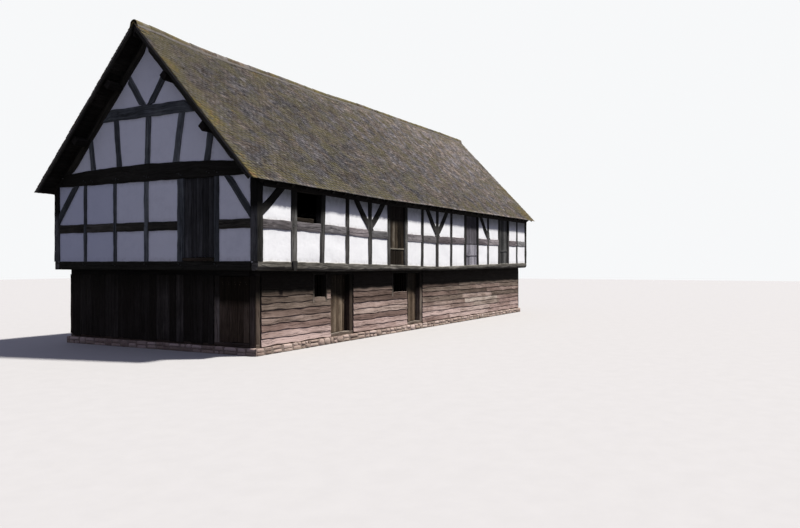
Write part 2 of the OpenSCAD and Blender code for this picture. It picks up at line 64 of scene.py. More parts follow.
turn = math.tau
print("frame loaded")

# Main sizes, read from the frame in metres


def reachOf(nodeName, axis, end=1):
    # how far a node's box reaches along x, y or z, at its high end or its low end
    return round(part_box(nodeName)[end][axis], 4)


house = {
    "halfLength": reachOf("sills_gable", 0),
    "halfWidth": reachOf("sills_long", 1),
    "lowHalfLength": reachOf("ground_sills_gable", 0),
    "lowHalfWidth": reachOf("ground_sills_long", 1),
    "sillTop": reachOf("sills_long", 2),
    "railLow": reachOf("long_rails", 2, 0),
    "railHigh": reachOf("long_rails", 2),
    "plateFoot": reachOf("wall_plates", 2, 0),
    "cornerTop": reachOf("corner_posts", 2),
    "collarLow": reachOf("collars", 2, 0),
    "collarHigh": reachOf("collars", 2),
}
roofForm = {
    "pitch": math.radians(47.2),
    "apex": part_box("roof_front")[1].z,
    "eave": reachOf("roof_back", 1),
    "verge": reachOf("roof_back", 0),
    "layer": 0.080,  # tiles and battens
}

# Node helpers


class Wire:
    # an output of one node; arithmetic with it adds the Math nodes that the formula needs

    def __init__(self, tree, socket):
        self.tree = tree
        self.socket = socket

    def combine(self, operation, other=0.0, clamp=False):
        return wireOf(self.tree, "Math", 0, {0: self, 1: other}, operation=operation, use_clamp=clamp)

    def __add__(self, other):
        return self.combine("ADD", other)

    def __sub__(self, other):
        return self.combine("SUBTRACT", other)

    def __rsub__(self, other):
        return wireOf(self.tree, "Math", 0, {0: other, 1: self}, operation="SUBTRACT")

    def __mul__(self, other):
        return self.combine("MULTIPLY", other)

    def __pow__(self, power):
        return self.combine("POWER", power)

    def __abs__(self):
        return self.combine("ABSOLUTE")


def addNode(tree, kind, inputs=None, **settings):
    node = tree.nodes.new("ShaderNode" + kind)
    for name, value in settings.items():
        setattr(node, name, value)
    for name, value in (inputs or {}).items():
        if isinstance(value, Wire):
            tree.links.new(value.socket, node.inputs[name])
        else:
            node.inputs[name].default_value = value
    return node


def wireOf(tree, kind, output, inputs=None, **settings):
    return Wire(tree, addNode(tree, kind, inputs, **settings).outputs[output])


def placeOf(tree):
    return wireOf(tree, "TexCoord", "Object")


def grainOf(tree):
    return wireOf(tree, "UVMap", "UV", uv_map="grain")


def partsOf(vector):
    node = addNode(vector.tree, "SeparateXYZ", {"Vector": vector})
    return [Wire(vector.tree, node.outputs[letter]) for letter in "XYZ"]


def tintOf(tree):
    # the three numbers that each point of a piece carries for its finish
    return partsOf(wireOf(tree, "Attribute", "Vector", attribute_name="tint"))


def stretched(vector, scale):
    return wireOf(vector.tree, "Mapping", "Vector", {"Vector": vector, "Scale": scale})


def noiseOf(vector, scale, detail, roughness):
    inputs = {"Vector": vector, "Scale": scale, "Detail": detail, "Roughness": roughness}
    return wireOf(vector.tree, "TexNoise", "Fac", inputs)


def rangeOf(value, low, high, toLow=0.0, toHigh=1.0):
    inputs = {"Value": value, "From Min": low, "From Max": high, "To Min": toLow, "To Max": toHigh}
    return wireOf(value.tree, "MapRange", "Result", inputs)


def rampOf(value, stops):
    ramp = addNode(value.tree, "ValToRGB", {"Fac": value})
    bar = ramp.color_ramp
    while len(bar.elements) < len(stops):
        bar.elements.new(0.5)
    for element, (place, colour) in zip(bar.elements, stops):
        element.position = place
        element.color = (*colour, 1)
    return Wire(value.tree, ramp.outputs["Color"])


def mixOf(share, a, b, blend="MIX"):
    # a and b are wires or plain colours; the sockets are the factor and the two colours of the Mix node
    tree = next(value.tree for value in (share, a, b) if isinstance(value, Wire))
    a, b = (value if isinstance(value, Wire) else (*value, 1) for value in (a, b))
    return wireOf(tree, "Mix", 2, {0: share, 6: a, 7: b}, data_type="RGBA", blend_type=blend)


def seenRay(tree):
    # 1 for a ray from the camera, a reflection or glass, 0 for light that bounces about
    path = addNode(tree, "LightPath")
    seen, mirrored, through = (
        Wire(tree, path.outputs["Is " + kind + " Ray"]) for kind in ("Camera", "Glossy", "Transmission")
    )
    return seen.combine("ADD", mirrored, clamp=True).combine("ADD", through, clamp=True)


def newMaterial(name, roughness, specular):
    material = bpy.data.materials.new(name)
    material.use_nodes = True
    shader = material.node_tree.nodes["Principled BSDF"]
    shader.inputs["Roughness"].default_value = roughness
    shader.inputs["Specular IOR Level"].default_value = specular
    return material, material.node_tree


def dress(material, colour, relief=None, depth=0.0):
    # gives the material its colour and a relief so many metres deep
    tree = material.node_tree
    shader = tree.nodes["Principled BSDF"]
    tree.links.new(colour.socket, shader.inputs["Base Color"])
    if relief is not None:
        bump = addNode(tree, "Bump", {"Height": relief, "Distance": depth, "Strength": 1.0})
        tree.links.new(bump.outputs["Normal"], shader.inputs["Normal"])
    return material


# Camera, light and floor

cameraView = {
    "place": (-22.28, -14.04, 2.10),
    "looking": (0.8805, 0.4740, 0.0),
    "lens": 33.4,
    "sensor": 36.0,
    "farthest": 500,
}
studioLight = {
    "keyFrom": 36.0,  # degrees round from the front wall's normal, towards the east
    "keyHeight": 60.0,
    "keyPower": 6.5,
    "keySpread": 4.0,
    "keyColour": (1.0, 0.975, 0.94),
    "fillColour": (0.62, 0.65, 1.0),
    "fillPower": 0.315,
    "backdrop": (0.93, 0.94, 0.95),
}
studioFloor = {"size": 160.0, "colour": (0.42, 0.41, 0.40), "mottle": 1.04, "bounce": (0.057, 0.057, 0.062)}


def pointingQuaternion(direction):
    return Vector(direction).to_track_quat("-Z", "Y")


def setCamera(look):
    lens = bpy.data.cameras.new("houseCamera")
    lens.lens = look["lens"]
    lens.sensor_width = look["sensor"]
    lens.clip_end = look["farthest"]
    camera = bpy.data.objects.new("houseCamera", lens)
    camera.location = look["place"]
    camera.rotation_mode = "QUATERNION"
    camera.rotation_quaternion = pointingQuaternion(look["looking"])
    scene.collection.objects.link(camera)
    scene.camera = camera


def setLight(look):
    # a sun for the key; the world fills in bluish light, and shows the camera a pale backdrop instead
    lamp = bpy.data.lights.new("keyLamp", "SUN")
    lamp.energy = look["keyPower"]
    lamp.angle = math.radians(look["keySpread"])
    lamp.color = look["keyColour"]
    key = bpy.data.objects.new("keyLamp", lamp)
    around, up = math.radians(look["keyFrom"]), math.radians(look["keyHeight"])
    fromLamp = (-math.sin(around) * math.cos(up), math.cos(around) * math.cos(up), -math.sin(up))
    key.rotation_mode = "QUATERNION"
    key.rotation_quaternion = pointingQuaternion(fromLamp)
    scene.collection.objects.link(key)

    world = bpy.data.worlds.new("studioWorld")
    scene.world = world
    world.use_nodes = True
    tree = world.node_tree
    tree.nodes.clear()
    fill = wireOf(tree, "Background", 0, {"Color": (*look["fillColour"], 1), "Strength": look["fillPower"]})
    shown = wireOf(tree, "Background", 0, {"Color": (*look["backdrop"], 1), "Strength": 1.0})
    mixed = wireOf(tree, "MixShader", 0, {0: seenRay(tree), 1: fill, 2: shown})
    addNode(tree, "OutputWorld", {"Surface": mixed})


def floorFinish(name, look):
    # the camera sees the floor's own colour; light that bounces meets a darker one, so that little comes back
    material, tree = newMaterial(name, 0.95, 0.1)
    grain = noiseOf(placeOf(tree), 3.0, 4, 0.6)
    pale = tuple(look["mottle"] * c for c in look["colour"])
    colour = rampOf(grain, [(0.3, look["colour"]), (0.7, pale)])
    return dress(material, mixOf(seenRay(tree), look["bounce"], colour))


def layFloor(look):
    half = look["size"] / 2
    corners = [(-half, -half, 0), (half, -half, 0), (half, half, 0), (-half, half, 0)]
    mesh = bpy.data.meshes.new("studioFloor")
    mesh.from_pydata(corners, [], [(0, 1, 2, 3)])
    mesh.materials.append(floorFinish("studioFloor", look))
    floor = bpy.data.objects.new("studioFloor", mesh)
    scene.collection.objects.link(floor)


setCamera(cameraView)
setLight(studioLight)
layFloor(studioFloor)

# Finishes, by name

finishes = {}

# Oak and boards

# From deepest to silver: the cracks and the painted shade, then four tones of the grain. crackWidth is how
# broad a crack is drawn, variety how much timbers differ in tone, bleach how silver a face that looks at the
# sky is, real silvering with a painted highlight on the tops, relief the depth of the grain, shelter the
# heights between which painted shade darkens the wood under the eaves and the jetty, and how much, cast two
# hues that boards lie between

plainWood = {"roughness": 0.86, "crackWidth": 0.045, "variety": 0.60, "paleAndSheen": 0.4, "relief": 0.005}
woods = {
    # the gables' oak: paler than wallOak and cast blue-green, painted skylight of the shade that the gables
    # stand in
    "paintedSkylightOak": {
        "crackAndShadeDeepest": (0.008, 0.008, 0.008), "deep": (0.040, 0.042, 0.043), "middle": (0.102, 0.111, 0.110),
        "pale": (0.210, 0.223, 0.215), "silver": (0.28, 0.285, 0.265),
        "crackWidth": 0.040, "variety": 0.40, "paleAndSheen": 0.75, "relief": 0.007,
    },
    "wallOak": {
        "crackAndShadeDeepest": (0.002, 0.002, 0.002), "deep": (0.023, 0.022, 0.020), "middle": (0.051, 0.049, 0.046),
        "pale": (0.118, 0.112, 0.103), "silver": (0.28, 0.285, 0.265), "paintedShade": (3.22, 3.42, 0.96),
        "crackWidth": 0.040, "variety": 0.40, "paleAndSheen": 0.75, "relief": 0.007,
    },
    "greyOak": {
        "crackAndShadeDeepest": (0.022, 0.019, 0.018), "deep": (0.090, 0.083, 0.083), "middle": (0.165, 0.155, 0.158),
        "pale": (0.27, 0.255, 0.258), "silver": (0.42, 0.405, 0.405),
        "cast": ((1.06, 0.96, 0.97), (0.97, 1.01, 0.99)),
        "crackWidth": 0.040, "variety": 0.55, "paleAndSheen": 0.7, "relief": 0.007,
    },
    "lowerOak": {
        "crackAndShadeDeepest": (0.005, 0.005, 0.004), "deep": (0.034, 0.024, 0.018), "middle": (0.078, 0.057, 0.044),
        "pale": (0.145, 0.112, 0.088), "silver": (0.26, 0.22, 0.18), "paintedShade": (1.10, 1.36, 0.90),
        "roughness": 0.87, "crackWidth": 0.040, "paleAndSheen": 0.5, "relief": 0.006,
    },
    "darkOak": {
        "crackAndShadeDeepest": (0.004, 0.004, 0.003), "deep": (0.013, 0.012, 0.010), "middle": (0.030, 0.028, 0.023),
        "pale": (0.062, 0.056, 0.042), "silver": (0.13, 0.12, 0.10),
        "roughness": 0.87, "crackWidth": 0.035, "variety": 0.34, "paleAndSheen": 0.6, "relief": 0.007,
    },
    "silverOak": {
        "crackAndShadeDeepest": (0.020, 0.018, 0.015), "deep": (0.048, 0.043, 0.036), "middle": (0.122, 0.113, 0.096),
        "pale": (0.252, 0.238, 0.207), "silver": (0.43, 0.412, 0.365),
        "roughness": 0.88, "variety": 0.40, "paleAndSheen": 0.85, "relief": 0.007,
    },
    # the joists, plates, floor and roof timbers: near black, painted as the deep shade under the jetty and
    # the roof
    "deepShadeOak": {
        "crackAndShadeDeepest": (0.002, 0.002, 0.002), "deep": (0.007, 0.006, 0.006), "middle": (0.017, 0.015, 0.013),
        "pale": (0.036, 0.032, 0.027), "silver": (0.075, 0.068, 0.058),
        "roughness": 0.88, "crackWidth": 0.030, "variety": 0.25, "paleAndSheen": 0.3,
    },
    "wallBoards": {
        "crackAndShadeDeepest": (0.007, 0.006, 0.005), "deep": (0.098, 0.068, 0.055), "middle": (0.212, 0.153, 0.127),
        "pale": (0.365, 0.280, 0.240), "silver": (0.52, 0.418, 0.368), "paintedShade": (1.34, 1.44, 0.96),
        "cast": ((1.02, 0.955, 0.965), (0.96, 1.035, 0.99)),
        "roughness": 0.88, "crackWidth": 0.036, "paleAndSheen": 0.6, "relief": 0.006,
    },
    "doorBoards": {
        "crackAndShadeDeepest": (0.004, 0.003, 0.002), "deep": (0.032, 0.022, 0.015), "middle": (0.070, 0.049, 0.033),
        "pale": (0.130, 0.095, 0.066), "silver": (0.22, 0.17, 0.12), "paintedShade": (1.10, 1.26, 0.93),
    },
    # the gables' lower boards: painted near black as the deep shade that they stand in
    "shadeDarkGableBoards": {
        "crackAndShadeDeepest": (0.004, 0.004, 0.003), "deep": (0.016, 0.013, 0.011), "middle": (0.040, 0.034, 0.029),
        "pale": (0.085, 0.073, 0.062), "silver": (0.17, 0.15, 0.13), "paintedShade": (1.3, 1.7, 0.5),
        "roughness": 0.88,
    },
    "lilacBoards": {
        "crackAndShadeDeepest": (0.012, 0.011, 0.012), "deep": (0.105, 0.097, 0.105), "middle": (0.250, 0.238, 0.265),
        "pale": (0.38, 0.365, 0.40), "silver": (0.50, 0.48, 0.51), "paintedShade": (3.25, 3.48, 0.6),
        "variety": 0.80,
    },
    "tanBoards": {
        "crackAndShadeDeepest": (0.003, 0.002, 0.002), "deep": (0.013, 0.010, 0.007), "middle": (0.038, 0.029, 0.020),
        "pale": (0.080, 0.062, 0.043), "silver": (0.20, 0.18, 0.145), "paintedShade": (3.22, 3.40, 0.97),
        "variety": 0.95, "paleAndSheen": 0.3,
    },
    "slateBoards": {
        "crackAndShadeDeepest": (0.005, 0.005, 0.005), "deep": (0.018, 0.018, 0.018), "middle": (0.042, 0.042, 0.041),
        "pale": (0.082, 0.082, 0.078), "silver": (0.16, 0.16, 0.155),
        "roughness": 0.87,
    },
}
# the corner posts' long face is painted darker as shade and their gable face painted paler as light: what
# each colour is multiplied by
woods["cornerOak"] = {**woods["wallOak"], "faces": ((0.60, 0.60, 0.58), (2.6, 2.65, 2.65))}

oakGrain = {
    # how much each noise is squeezed along the grain, across it and through it, and how fine blotches are
    "fine": (2.2, 75, 1),
    "bands": (0.55, 11, 1),
    "cracks": (0.8, 26, 1),
    "blotch": 1.7,
    # shares of fine lines, bands and blotches in the shade, and where on it each tone lies
    "shares": (0.34, 0.40, 0.35),
    "stops": ((0.30, "deep"), (0.52, "middle"), (0.66, "pale"), (0.82, "silver")),
    "skyward": (0.25, 0.9),  # between these upward parts of its normal a face grows silver, partly a painted highlight
    "endward": (0.4, 0.8),  # and between these parts along the house it is one of the gable's
    "raggedPaintedShade": 0.15,  # metres that the painted shade's edge wanders
}


def oakFinish(name, look):
    # noises stretched along the grain: fine lines, broad bands, and cracks where a third noise crosses its
    # middle; their weighted sum with a cloudy blotch and the timber's own tone runs through the four tones
    look = {**plainWood, **look}
    material, tree = newMaterial(name, look["roughness"], 0.04)
    grain, place = grainOf(tree), placeOf(tree)
    tone, hue = tintOf(tree)[:2]
    form = oakGrain
    fine = noiseOf(stretched(grain, form["fine"]), 1.0, 4, 0.6)
    bands = noiseOf(stretched(grain, form["bands"]), 1.0, 3, 0.5)
    cracks = noiseOf(stretched(grain, form["cracks"]), 1.0, 3, 0.5)
    crackLine = rangeOf(abs(cracks - 0.5), 0.0, look["crackWidth"])
    blotch = noiseOf(place, form["blotch"], 3, 0.6)
    fineShare, bandShare, blotchShare = form["shares"]
    shade = fine * fineShare + bands * bandShare + blotch * blotchShare + (tone - 0.5) * look["variety"]
    colour = rampOf(shade, [(stop, look[key]) for stop, key in form["stops"]])
    normal = partsOf(wireOf(tree, "NewGeometry", "Normal"))
    # faces that look at the sky turn silver: real silvering, with a painted highlight on the tops
    colour = mixOf(rangeOf(normal[2], *form["skyward"]) * look["paleAndSheen"], colour, look["silver"])
    split = (1.0 - crackLine) * rangeOf(bands, 0.40, 0.60, 0.80, 0.30)
    colour = mixOf(split, colour, look["crackAndShadeDeepest"])
    # painted light and shade: the gable face is multiplied paler, the long face darker
    if "faces" in look:
        face = mixOf(rangeOf(abs(normal[0]), *form["endward"]), *look["faces"])
        colour = mixOf(1.0, colour, face, "MULTIPLY")
    if "cast" in look:
        colour = mixOf(1.0, colour, mixOf(hue, *look["cast"]), "MULTIPLY")
    if "paintedShade" in look:
        # painted shade: above these heights the colour darkens towards deepest, where the eaves and the jetty
        # cast shade
        low, high, most = look["paintedShade"]
        height = partsOf(place)[2] + (blotch - 0.5) * form["raggedPaintedShade"]
        colour = mixOf(rangeOf(height, low, high, 0.0, most), colour, look["crackAndShadeDeepest"])
    return dress(material, colour, fine * 0.5 + crackLine * 0.9, look["relief"])


for name, look in woods.items():
    finishes[name] = oakFinish(name, look)

# Plaster

plasters = {
    "wallPlaster": {
        "bright": (0.93, 0.93, 0.92), "body": (0.895, 0.895, 0.89), "dull": (0.81, 0.81, 0.81),
        # dirt is the colour of the runs and of the painted shade beside the timbers, damp the bluish painted
        # shade of the gables, paintedEavesShade the painted shade under the eaves
        "dirtAndRimShade": (0.36, 0.34, 0.31), "paintedGableShade": (0.52, 0.56, 0.68), "paintedEavesShade": (0.19, 0.195, 0.165),
        "stain": 0.12, "rim": 0.5, "gableShadeMost": 0.55,
        # how many waves of each noise go into a metre or so, and the squeeze of the runs of dirt
        "wash": 1.3, "mottle": 7.0, "sand": 160.0, "runs": (9, 9, 0.7),
        "runReach": 0.35, "shadeRimWide": 0.10, "relief": 0.006,
    },
}


def plasterFinish(name, look):
    # limewash over a floated coat: low waves of tone, faint runs of dirt that fade away from the timbers, a
    # rim of painted shade beside the timbers, bluish painted shade on the gables, painted shade under the
    # eaves, and a fine sandy grain
    material, tree = newMaterial(name, 0.92, 0.1)
    place = placeOf(tree)
    eavesShadeMask, wet, edge = tintOf(tree)
    wash = noiseOf(place, look["wash"], 4, 0.6)
    mottle = noiseOf(place, look["mottle"], 4, 0.65)
    sand = noiseOf(place, look["sand"], 2, 0.5)
    runs = noiseOf(stretched(place, look["runs"]), 1.0, 3, 0.6)
    tones = [(0.28, look["dull"]), (0.48, look["body"]), (0.70, look["bright"])]
    colour = rampOf(wash * 0.55 + mottle * 0.45, tones)
    stain = rangeOf(runs, 0.52, 0.78) * rangeOf(edge, 0.0, look["runReach"], 1.0, 0.12)
    colour = mixOf(stain * look["stain"], colour, look["dirtAndRimShade"])
    # painted shade: a rim beside the timbers darkened towards the dirt colour, ragged by the mottle
    rim = rangeOf(edge, 0.0, look["shadeRimWide"], 1.0, 0.0) * rangeOf(mottle, 0.35, 0.7)
    colour = mixOf(rim * look["rim"], colour, look["dirtAndRimShade"])
    # bluish painted shade on the gables, by the share that each sheet carries
    colour = mixOf(wet * look["gableShadeMost"], colour, look["paintedGableShade"])
    # painted shade under the eaves of the long walls, ragged by the mottle
    colour = mixOf(eavesShadeMask * rangeOf(mottle, 0.2, 0.6, 0.7, 1.0), colour, look["paintedEavesShade"])
    return dress(material, colour, sand * 0.25 + mottle, look["relief"])


for name, look in plasters.items():
    finishes[name] = plasterFinish(name, look)

# Clay tiles

# burnt and warm are the clay's grey and its brown firings, from dark to pale

clays = {
    "oldTiles": {
        "burnt": [(0.10, (0.034, 0.031, 0.034)), (0.36, (0.080, 0.074, 0.077)), (0.60, (0.144, 0.131, 0.135)),
                  (0.84, (0.285, 0.257, 0.260))],
        "warm": [(0.10, (0.040, 0.031, 0.026)), (0.40, (0.097, 0.077, 0.064)), (0.65, (0.182, 0.146, 0.123)),
                 (0.88, (0.365, 0.297, 0.252))],
        "greyLichenAndTailLight": (0.27, 0.258, 0.242),
        "moss": (0.113, 0.098, 0.045),
        "goldLichen": (0.165, 0.132, 0.046),
        "rustLichen": (0.20, 0.118, 0.050), "mossy": 0.70, "rim": 0.09, "paintedTailLight": 0.50,
    },
    "ridgeClay": {
        "burnt": [(0.10, (0.034, 0.030, 0.028)), (0.36, (0.074, 0.066, 0.062)), (0.60, (0.125, 0.112, 0.104)),
                  (0.84, (0.21, 0.19, 0.175))],
        "warm": [(0.10, (0.040, 0.030, 0.022)), (0.40, (0.098, 0.072, 0.050)), (0.65, (0.16, 0.118, 0.080)),
                 (0.88, (0.24, 0.18, 0.12))],
        "greyLichenAndTailLight": (0.24, 0.235, 0.215), "moss": (0.105, 0.090, 0.036), "goldLichen": (0.17, 0.135, 0.045),
        "rustLichen": (0.21, 0.125, 0.055), "mossy": 0.75, "rim": 0.0, "paintedTailLight": 0.0,
    },
}

clayWeather = {
    # how many waves of each noise go into a metre or so
    "speck": 22.0,
    "cloud": 0.9,
    "patch": 3.2,
    "dapple": 6.5,
    "brown": 2.3,
    "green": 1.9,
    "bloom": 13.0,
    "gold": 4.0,
    "rusty": 5.5,
    # how far speck, cloud, patch and dapple move the burnt tone
    "shares": (0.50, 0.35, 0.85, 0.85),
    # how far a tile's own hue and the growth on it move the noises that they are added to
    "hueShare": 0.14,
    "greenShare": 0.28,
    "goldShare": 0.24,
    "tail": (0.005, 0.014),  # metres from its tail between which the painted light on the tail fades out
    "tailRim": (0.008, 0.040),
}


def tileFinish(name, look):
    # every tile has its own burnt tone under patches a few tiles wide, browner or greyer; its tail's shaded
    # end is painted pale as light, and lichen and moss gather by the mask that the roof gives each tile
    material, tree = newMaterial(name, 0.93, 0.12)
    place = placeOf(tree)
    tone, hue, growth = tintOf(tree)
    fromTail = partsOf(grainOf(tree))[0]
    form = clayWeather
    speck = noiseOf(place, form["speck"], 4, 0.65)
    cloud = noiseOf(place, form["cloud"], 3, 0.6)
    patch = noiseOf(place, form["patch"], 3, 0.6)
    dapple = noiseOf(place, form["dapple"], 2, 0.5)
    shade = tone
    for noise, share in zip((speck, cloud, patch, dapple), form["shares"]):
        shade = shade + (noise - 0.5) * share
    brown = noiseOf(place, form["brown"], 2, 0.5) + (hue - 0.5) * form["hueShare"]
    colour = mixOf(rangeOf(brown, 0.43, 0.57), rampOf(shade, look["burnt"]), rampOf(shade, look["warm"]))
    green = noiseOf(place, form["green"], 3, 0.60) + growth * form["greenShare"]
    colour = mixOf(rangeOf(green, 0.49, 0.68, 0.0, look["mossy"]), colour, look["moss"])
    # painted light: the tail's end face and the first millimetres above it turn pale grey
    tailLight = rangeOf(fromTail, *form["tail"], look["paintedTailLight"], 0.0)
    colour = mixOf(tailLight, colour, look["greyLichenAndTailLight"])
    bloom = noiseOf(place, form["bloom"], 4, 0.65)
    bloomed = bloom + rangeOf(fromTail, *form["tailRim"], 1.0, 0.0) * look["rim"]
    colour = mixOf(rangeOf(bloomed, 0.58, 0.70, 0.0, 0.50), colour, look["greyLichenAndTailLight"])
    gold = noiseOf(place, form["gold"], 5, 0.65) + growth ** 2.0 * form["goldShare"]
    rusty = rangeOf(noiseOf(place, form["rusty"], 3, 0.6), 0.52, 0.60)
    lichen = mixOf(rusty, look["goldLichen"], look["rustLichen"])
    colour = mixOf(rangeOf(gold, 0.64, 0.80, 0.0, 0.80), colour, lichen)
    return dress(material, colour, speck + bloom * 0.6, 0.004)


for name, look in clays.items():
    finishes[name] = tileFinish(name, look)

# Stone and mortar

stones = {
    "rubbleStone": {
        "dark": (0.20, 0.142, 0.116), "body": (0.40, 0.300, 0.252), "pale": (0.56, 0.44, 0.385),
        "green": (0.16, 0.145, 0.075), "growth": 0.45,
    },
    "limeMortar": {
        "dark": (0.21, 0.158, 0.132), "body": (0.34, 0.265, 0.225), "pale": (0.45, 0.36, 0.31),
        "green": (0.15, 0.145, 0.075), "growth": 0.35,
    },
    "roofMortar": {
        "dark": (0.065, 0.057, 0.049), "body": (0.125, 0.112, 0.097), "pale": (0.22, 0.20, 0.178),
        "green": (0.10, 0.096, 0.04), "growth": 0.0,
    },
}


def stoneFinish(name, look):
    # a tone for each stone, mineral specks, and green growth that fades upwards from the ground
    material, tree = newMaterial(name, 0.9, 0.15)
    place = placeOf(tree)
    tone = tintOf(tree)[0]
    speck = noiseOf(place, 48.0, 4, 0.65)
    patch = noiseOf(place, 7.0, 3, 0.6)
    tones = [(0.30, look["dark"]), (0.50, look["body"]), (0.72, look["pale"])]
    colour = rampOf(speck * 0.35 + patch * 0.35 + tone * 0.35, tones)
    wet = rangeOf(partsOf(place)[2], 0.0, 0.16, 1.0, 0.25) * rangeOf(patch, 0.40, 0.60)
    colour = mixOf(wet * look["growth"], colour, look["green"])
    return dress(material, colour, speck + patch, 0.008)


for name, look in stones.items():
    finishes[name] = stoneFinish(name, look)

# Iron

irons = {
    "forgedIron": {
        "iron": (0.012, 0.011, 0.011),
        "brown": (0.045, 0.027, 0.018),
        "rust": (0.12, 0.055, 0.026),
    },
}


def ironFinish(name, look):
    # forged iron with a rusty bloom and small pits
    material, tree = newMaterial(name, 0.62, 0.5)
    rust = noiseOf(placeOf(tree), 30.0, 4, 0.65)
    pit = noiseOf(placeOf(tree), 160.0, 2, 0.5)
    colour = rampOf(rust, [(0.35, look["iron"]), (0.55, look["brown"]), (0.72, look["rust"])])
    return dress(material, colour, rust + pit * 0.5, 0.0012)


for name, look in irons.items():
    finishes[name] = ironFinish(name, look)
print("finishes made")

# Shapes as whole arrays

settling = {
    # metres that the frame has sunk, by its place along the house and its height above the ground
    "places": (-9.25, -7.75, -6.05, -3.75, -1.60, 0.25, 4.15, 7.45, 9.25),
    "heights": (1.82, 1.98, 2.17, 3.02, 3.95, 7.95),
    "drops": ((0.0, 0.0, 0.0, 0.0, 0.0, 0.0, 0.0, 0.0, 0.0),
              (0.0, 0.030, 0.062, 0.060, 0.060, 0.088, 0.055, 0.040, 0.020),
              (0.0, 0.015, 0.040, 0.080, 0.120, 0.157, 0.085, 0.040, 0.020),
              (0.005, 0.010, 0.030, 0.090, 0.115, 0.125, 0.080, 0.070, 0.060),
              (-0.010, 0.0, 0.010, 0.030, 0.0, 0.0, -0.020, -0.040, -0.040),
              (0.0, 0.110, 0.130, 0.115, 0.140, 0.085, 0.070, 0.045, 0.050)),
    "ease": 0.35,  # the drops are averaged over this reach, so that no line has a kink
    "sway": 0.009,  # how far the old frame wanders out of line
    "swaySize": 4.5,
    "swayHeights": (1.95, 2.45),  # the sway grows from none to all of it between these heights
    "swayEnds": (9.15, 9.75),  # and fades towards the verges between these places
    "margin": 0.0005,  # kept free inside the frame's box
}


def ripple(points, size, seed):
    # smooth noise from about -1 to 1: six sine waves of random direction, each about size long
    draw = np.random.default_rng(seed)
    total = np.zeros(points.shape[:-1])
    for wave in range(6):
        direction = draw.normal(size=points.shape[-1])
        direction *= turn / (size * draw.uniform(0.7, 1.5) * np.linalg.norm(direction))
        total += np.sin(points @ direction + draw.uniform(0, turn))
    return np.clip(total * 0.30, -1, 1)


def settle(points):
    # the frame sinks by a table of drops, looked up along the house and by height, and sways by smooth noise
    look = settling
    moved = points.copy()
    free = np.interp(points[:, 2], look["swayHeights"], (0, 1))
    free *= np.interp(np.abs(points[:, 0]), look["swayEnds"], (1, 0))
    for axis in range(2):
        moved[:, axis] += look["sway"] * free * ripple(points, look["swaySize"], 40 + axis)
    shifts = look["ease"] * np.arange(-2, 3)
    for shift in shifts:
        for row, weights in zip(look["drops"], np.eye(len(look["heights"]))):
            drop = np.interp(points[:, 0] + shift, look["places"], row)
            moved[:, 2] -= drop * np.interp(points[:, 2], look["heights"], weights) / len(shifts)
    low, high = (np.array(corner) for corner in cadBox)
    return np.clip(moved, low + look["margin"], high - look["margin"])


def tubes(rings, along, girth, tint, hoop=False):
    # closed tubes from rings (count, stations, around, 3): each ring is joined to the next by quads. An end
    # is closed by strips across its ring, and a hoop's last ring is joined to its first
    count, stations, around = rings.shape[:3]
    index = np.arange(count * stations * around).reshape(count, stations, around)
    along = np.broadcast_to(along, (count, stations))
    girth = np.broadcast_to(girth, (count, around + 1))
    if hoop:
        start, end = index, np.roll(index, -1, axis=1)
        uStart, uEnd = along, along + (along[:, 1:2] - along[:, :1])
    else:
        start, end = index[:, :-1], index[:, 1:]
        uStart, uEnd = along[:, :-1], along[:, 1:]
    shape = start.shape
    faces = np.stack([start, np.roll(start, -1, 2), np.roll(end, -1, 2), end], -1).reshape(count, -1, 4)
    u0, u1 = (np.broadcast_to(u[:, :, None], shape) for u in (uStart, uEnd))
    v0, v1 = (np.broadcast_to(v[:, None, :], shape) for v in (girth[:, :-1], girth[:, 1:]))
    grain = np.stack([np.stack(corner, -1) for corner in ((u0, v0), (u0, v1), (u1, v1), (u1, v0))], -2)
    grain = grain.reshape(count, -1, 4, 2)
    if not hoop:
        a = np.arange(around // 2 - 1)
        strip = np.stack([a, a + 1, around - 2 - a, around - 1 - a], -1)
        for station, order in ((0, strip[:, ::-1]), (stations - 1, strip)):
            capU = np.broadcast_to(along[:, station][:, None, None], (count,) + order.shape)
            capV = girth[:, order]
            faces = np.concatenate([faces, index[:, station][:, order]], 1)
            grain = np.concatenate([grain, np.stack([capU + 0.002 * order, capV], -1)], 1)
    points = rings.reshape(-1, 3)
    # a tube whose signed volume is negative has its faces turned round
    corner = points[faces]
    volume = np.einsum("cfi,cfi->c", corner[:, :, 0], np.cross(corner[:, :, 1], corner[:, :, 2]))
    volume += np.einsum("cfi,cfi->c", corner[:, :, 0], np.cross(corner[:, :, 2], corner[:, :, 3]))
    inside = volume < 0
    faces[inside] = faces[inside][:, :, ::-1]
    grain[inside] = grain[inside][:, :, ::-1]
    tint = np.asarray(tint, float)
    if tint.ndim < 4:
        tint = np.broadcast_to(tint.reshape(-1, 1, 1, 3), (count, stations, around, 3))
    return {"points": points, "faces": faces.reshape(-1, 4), "grain": grain.reshape(-1, 4, 2),
            "tint": tint.reshape(-1, 3)}


def joined(shapes):
    starts = np.cumsum([0] + [len(s["points"]) for s in shapes[:-1]])
    whole = {key: np.concatenate([s[key] for s in shapes]) for key in ("points", "grain", "tint")}
    whole["faces"] = np.concatenate([s["faces"] + start for s, start in zip(shapes, starts)])
    return whole


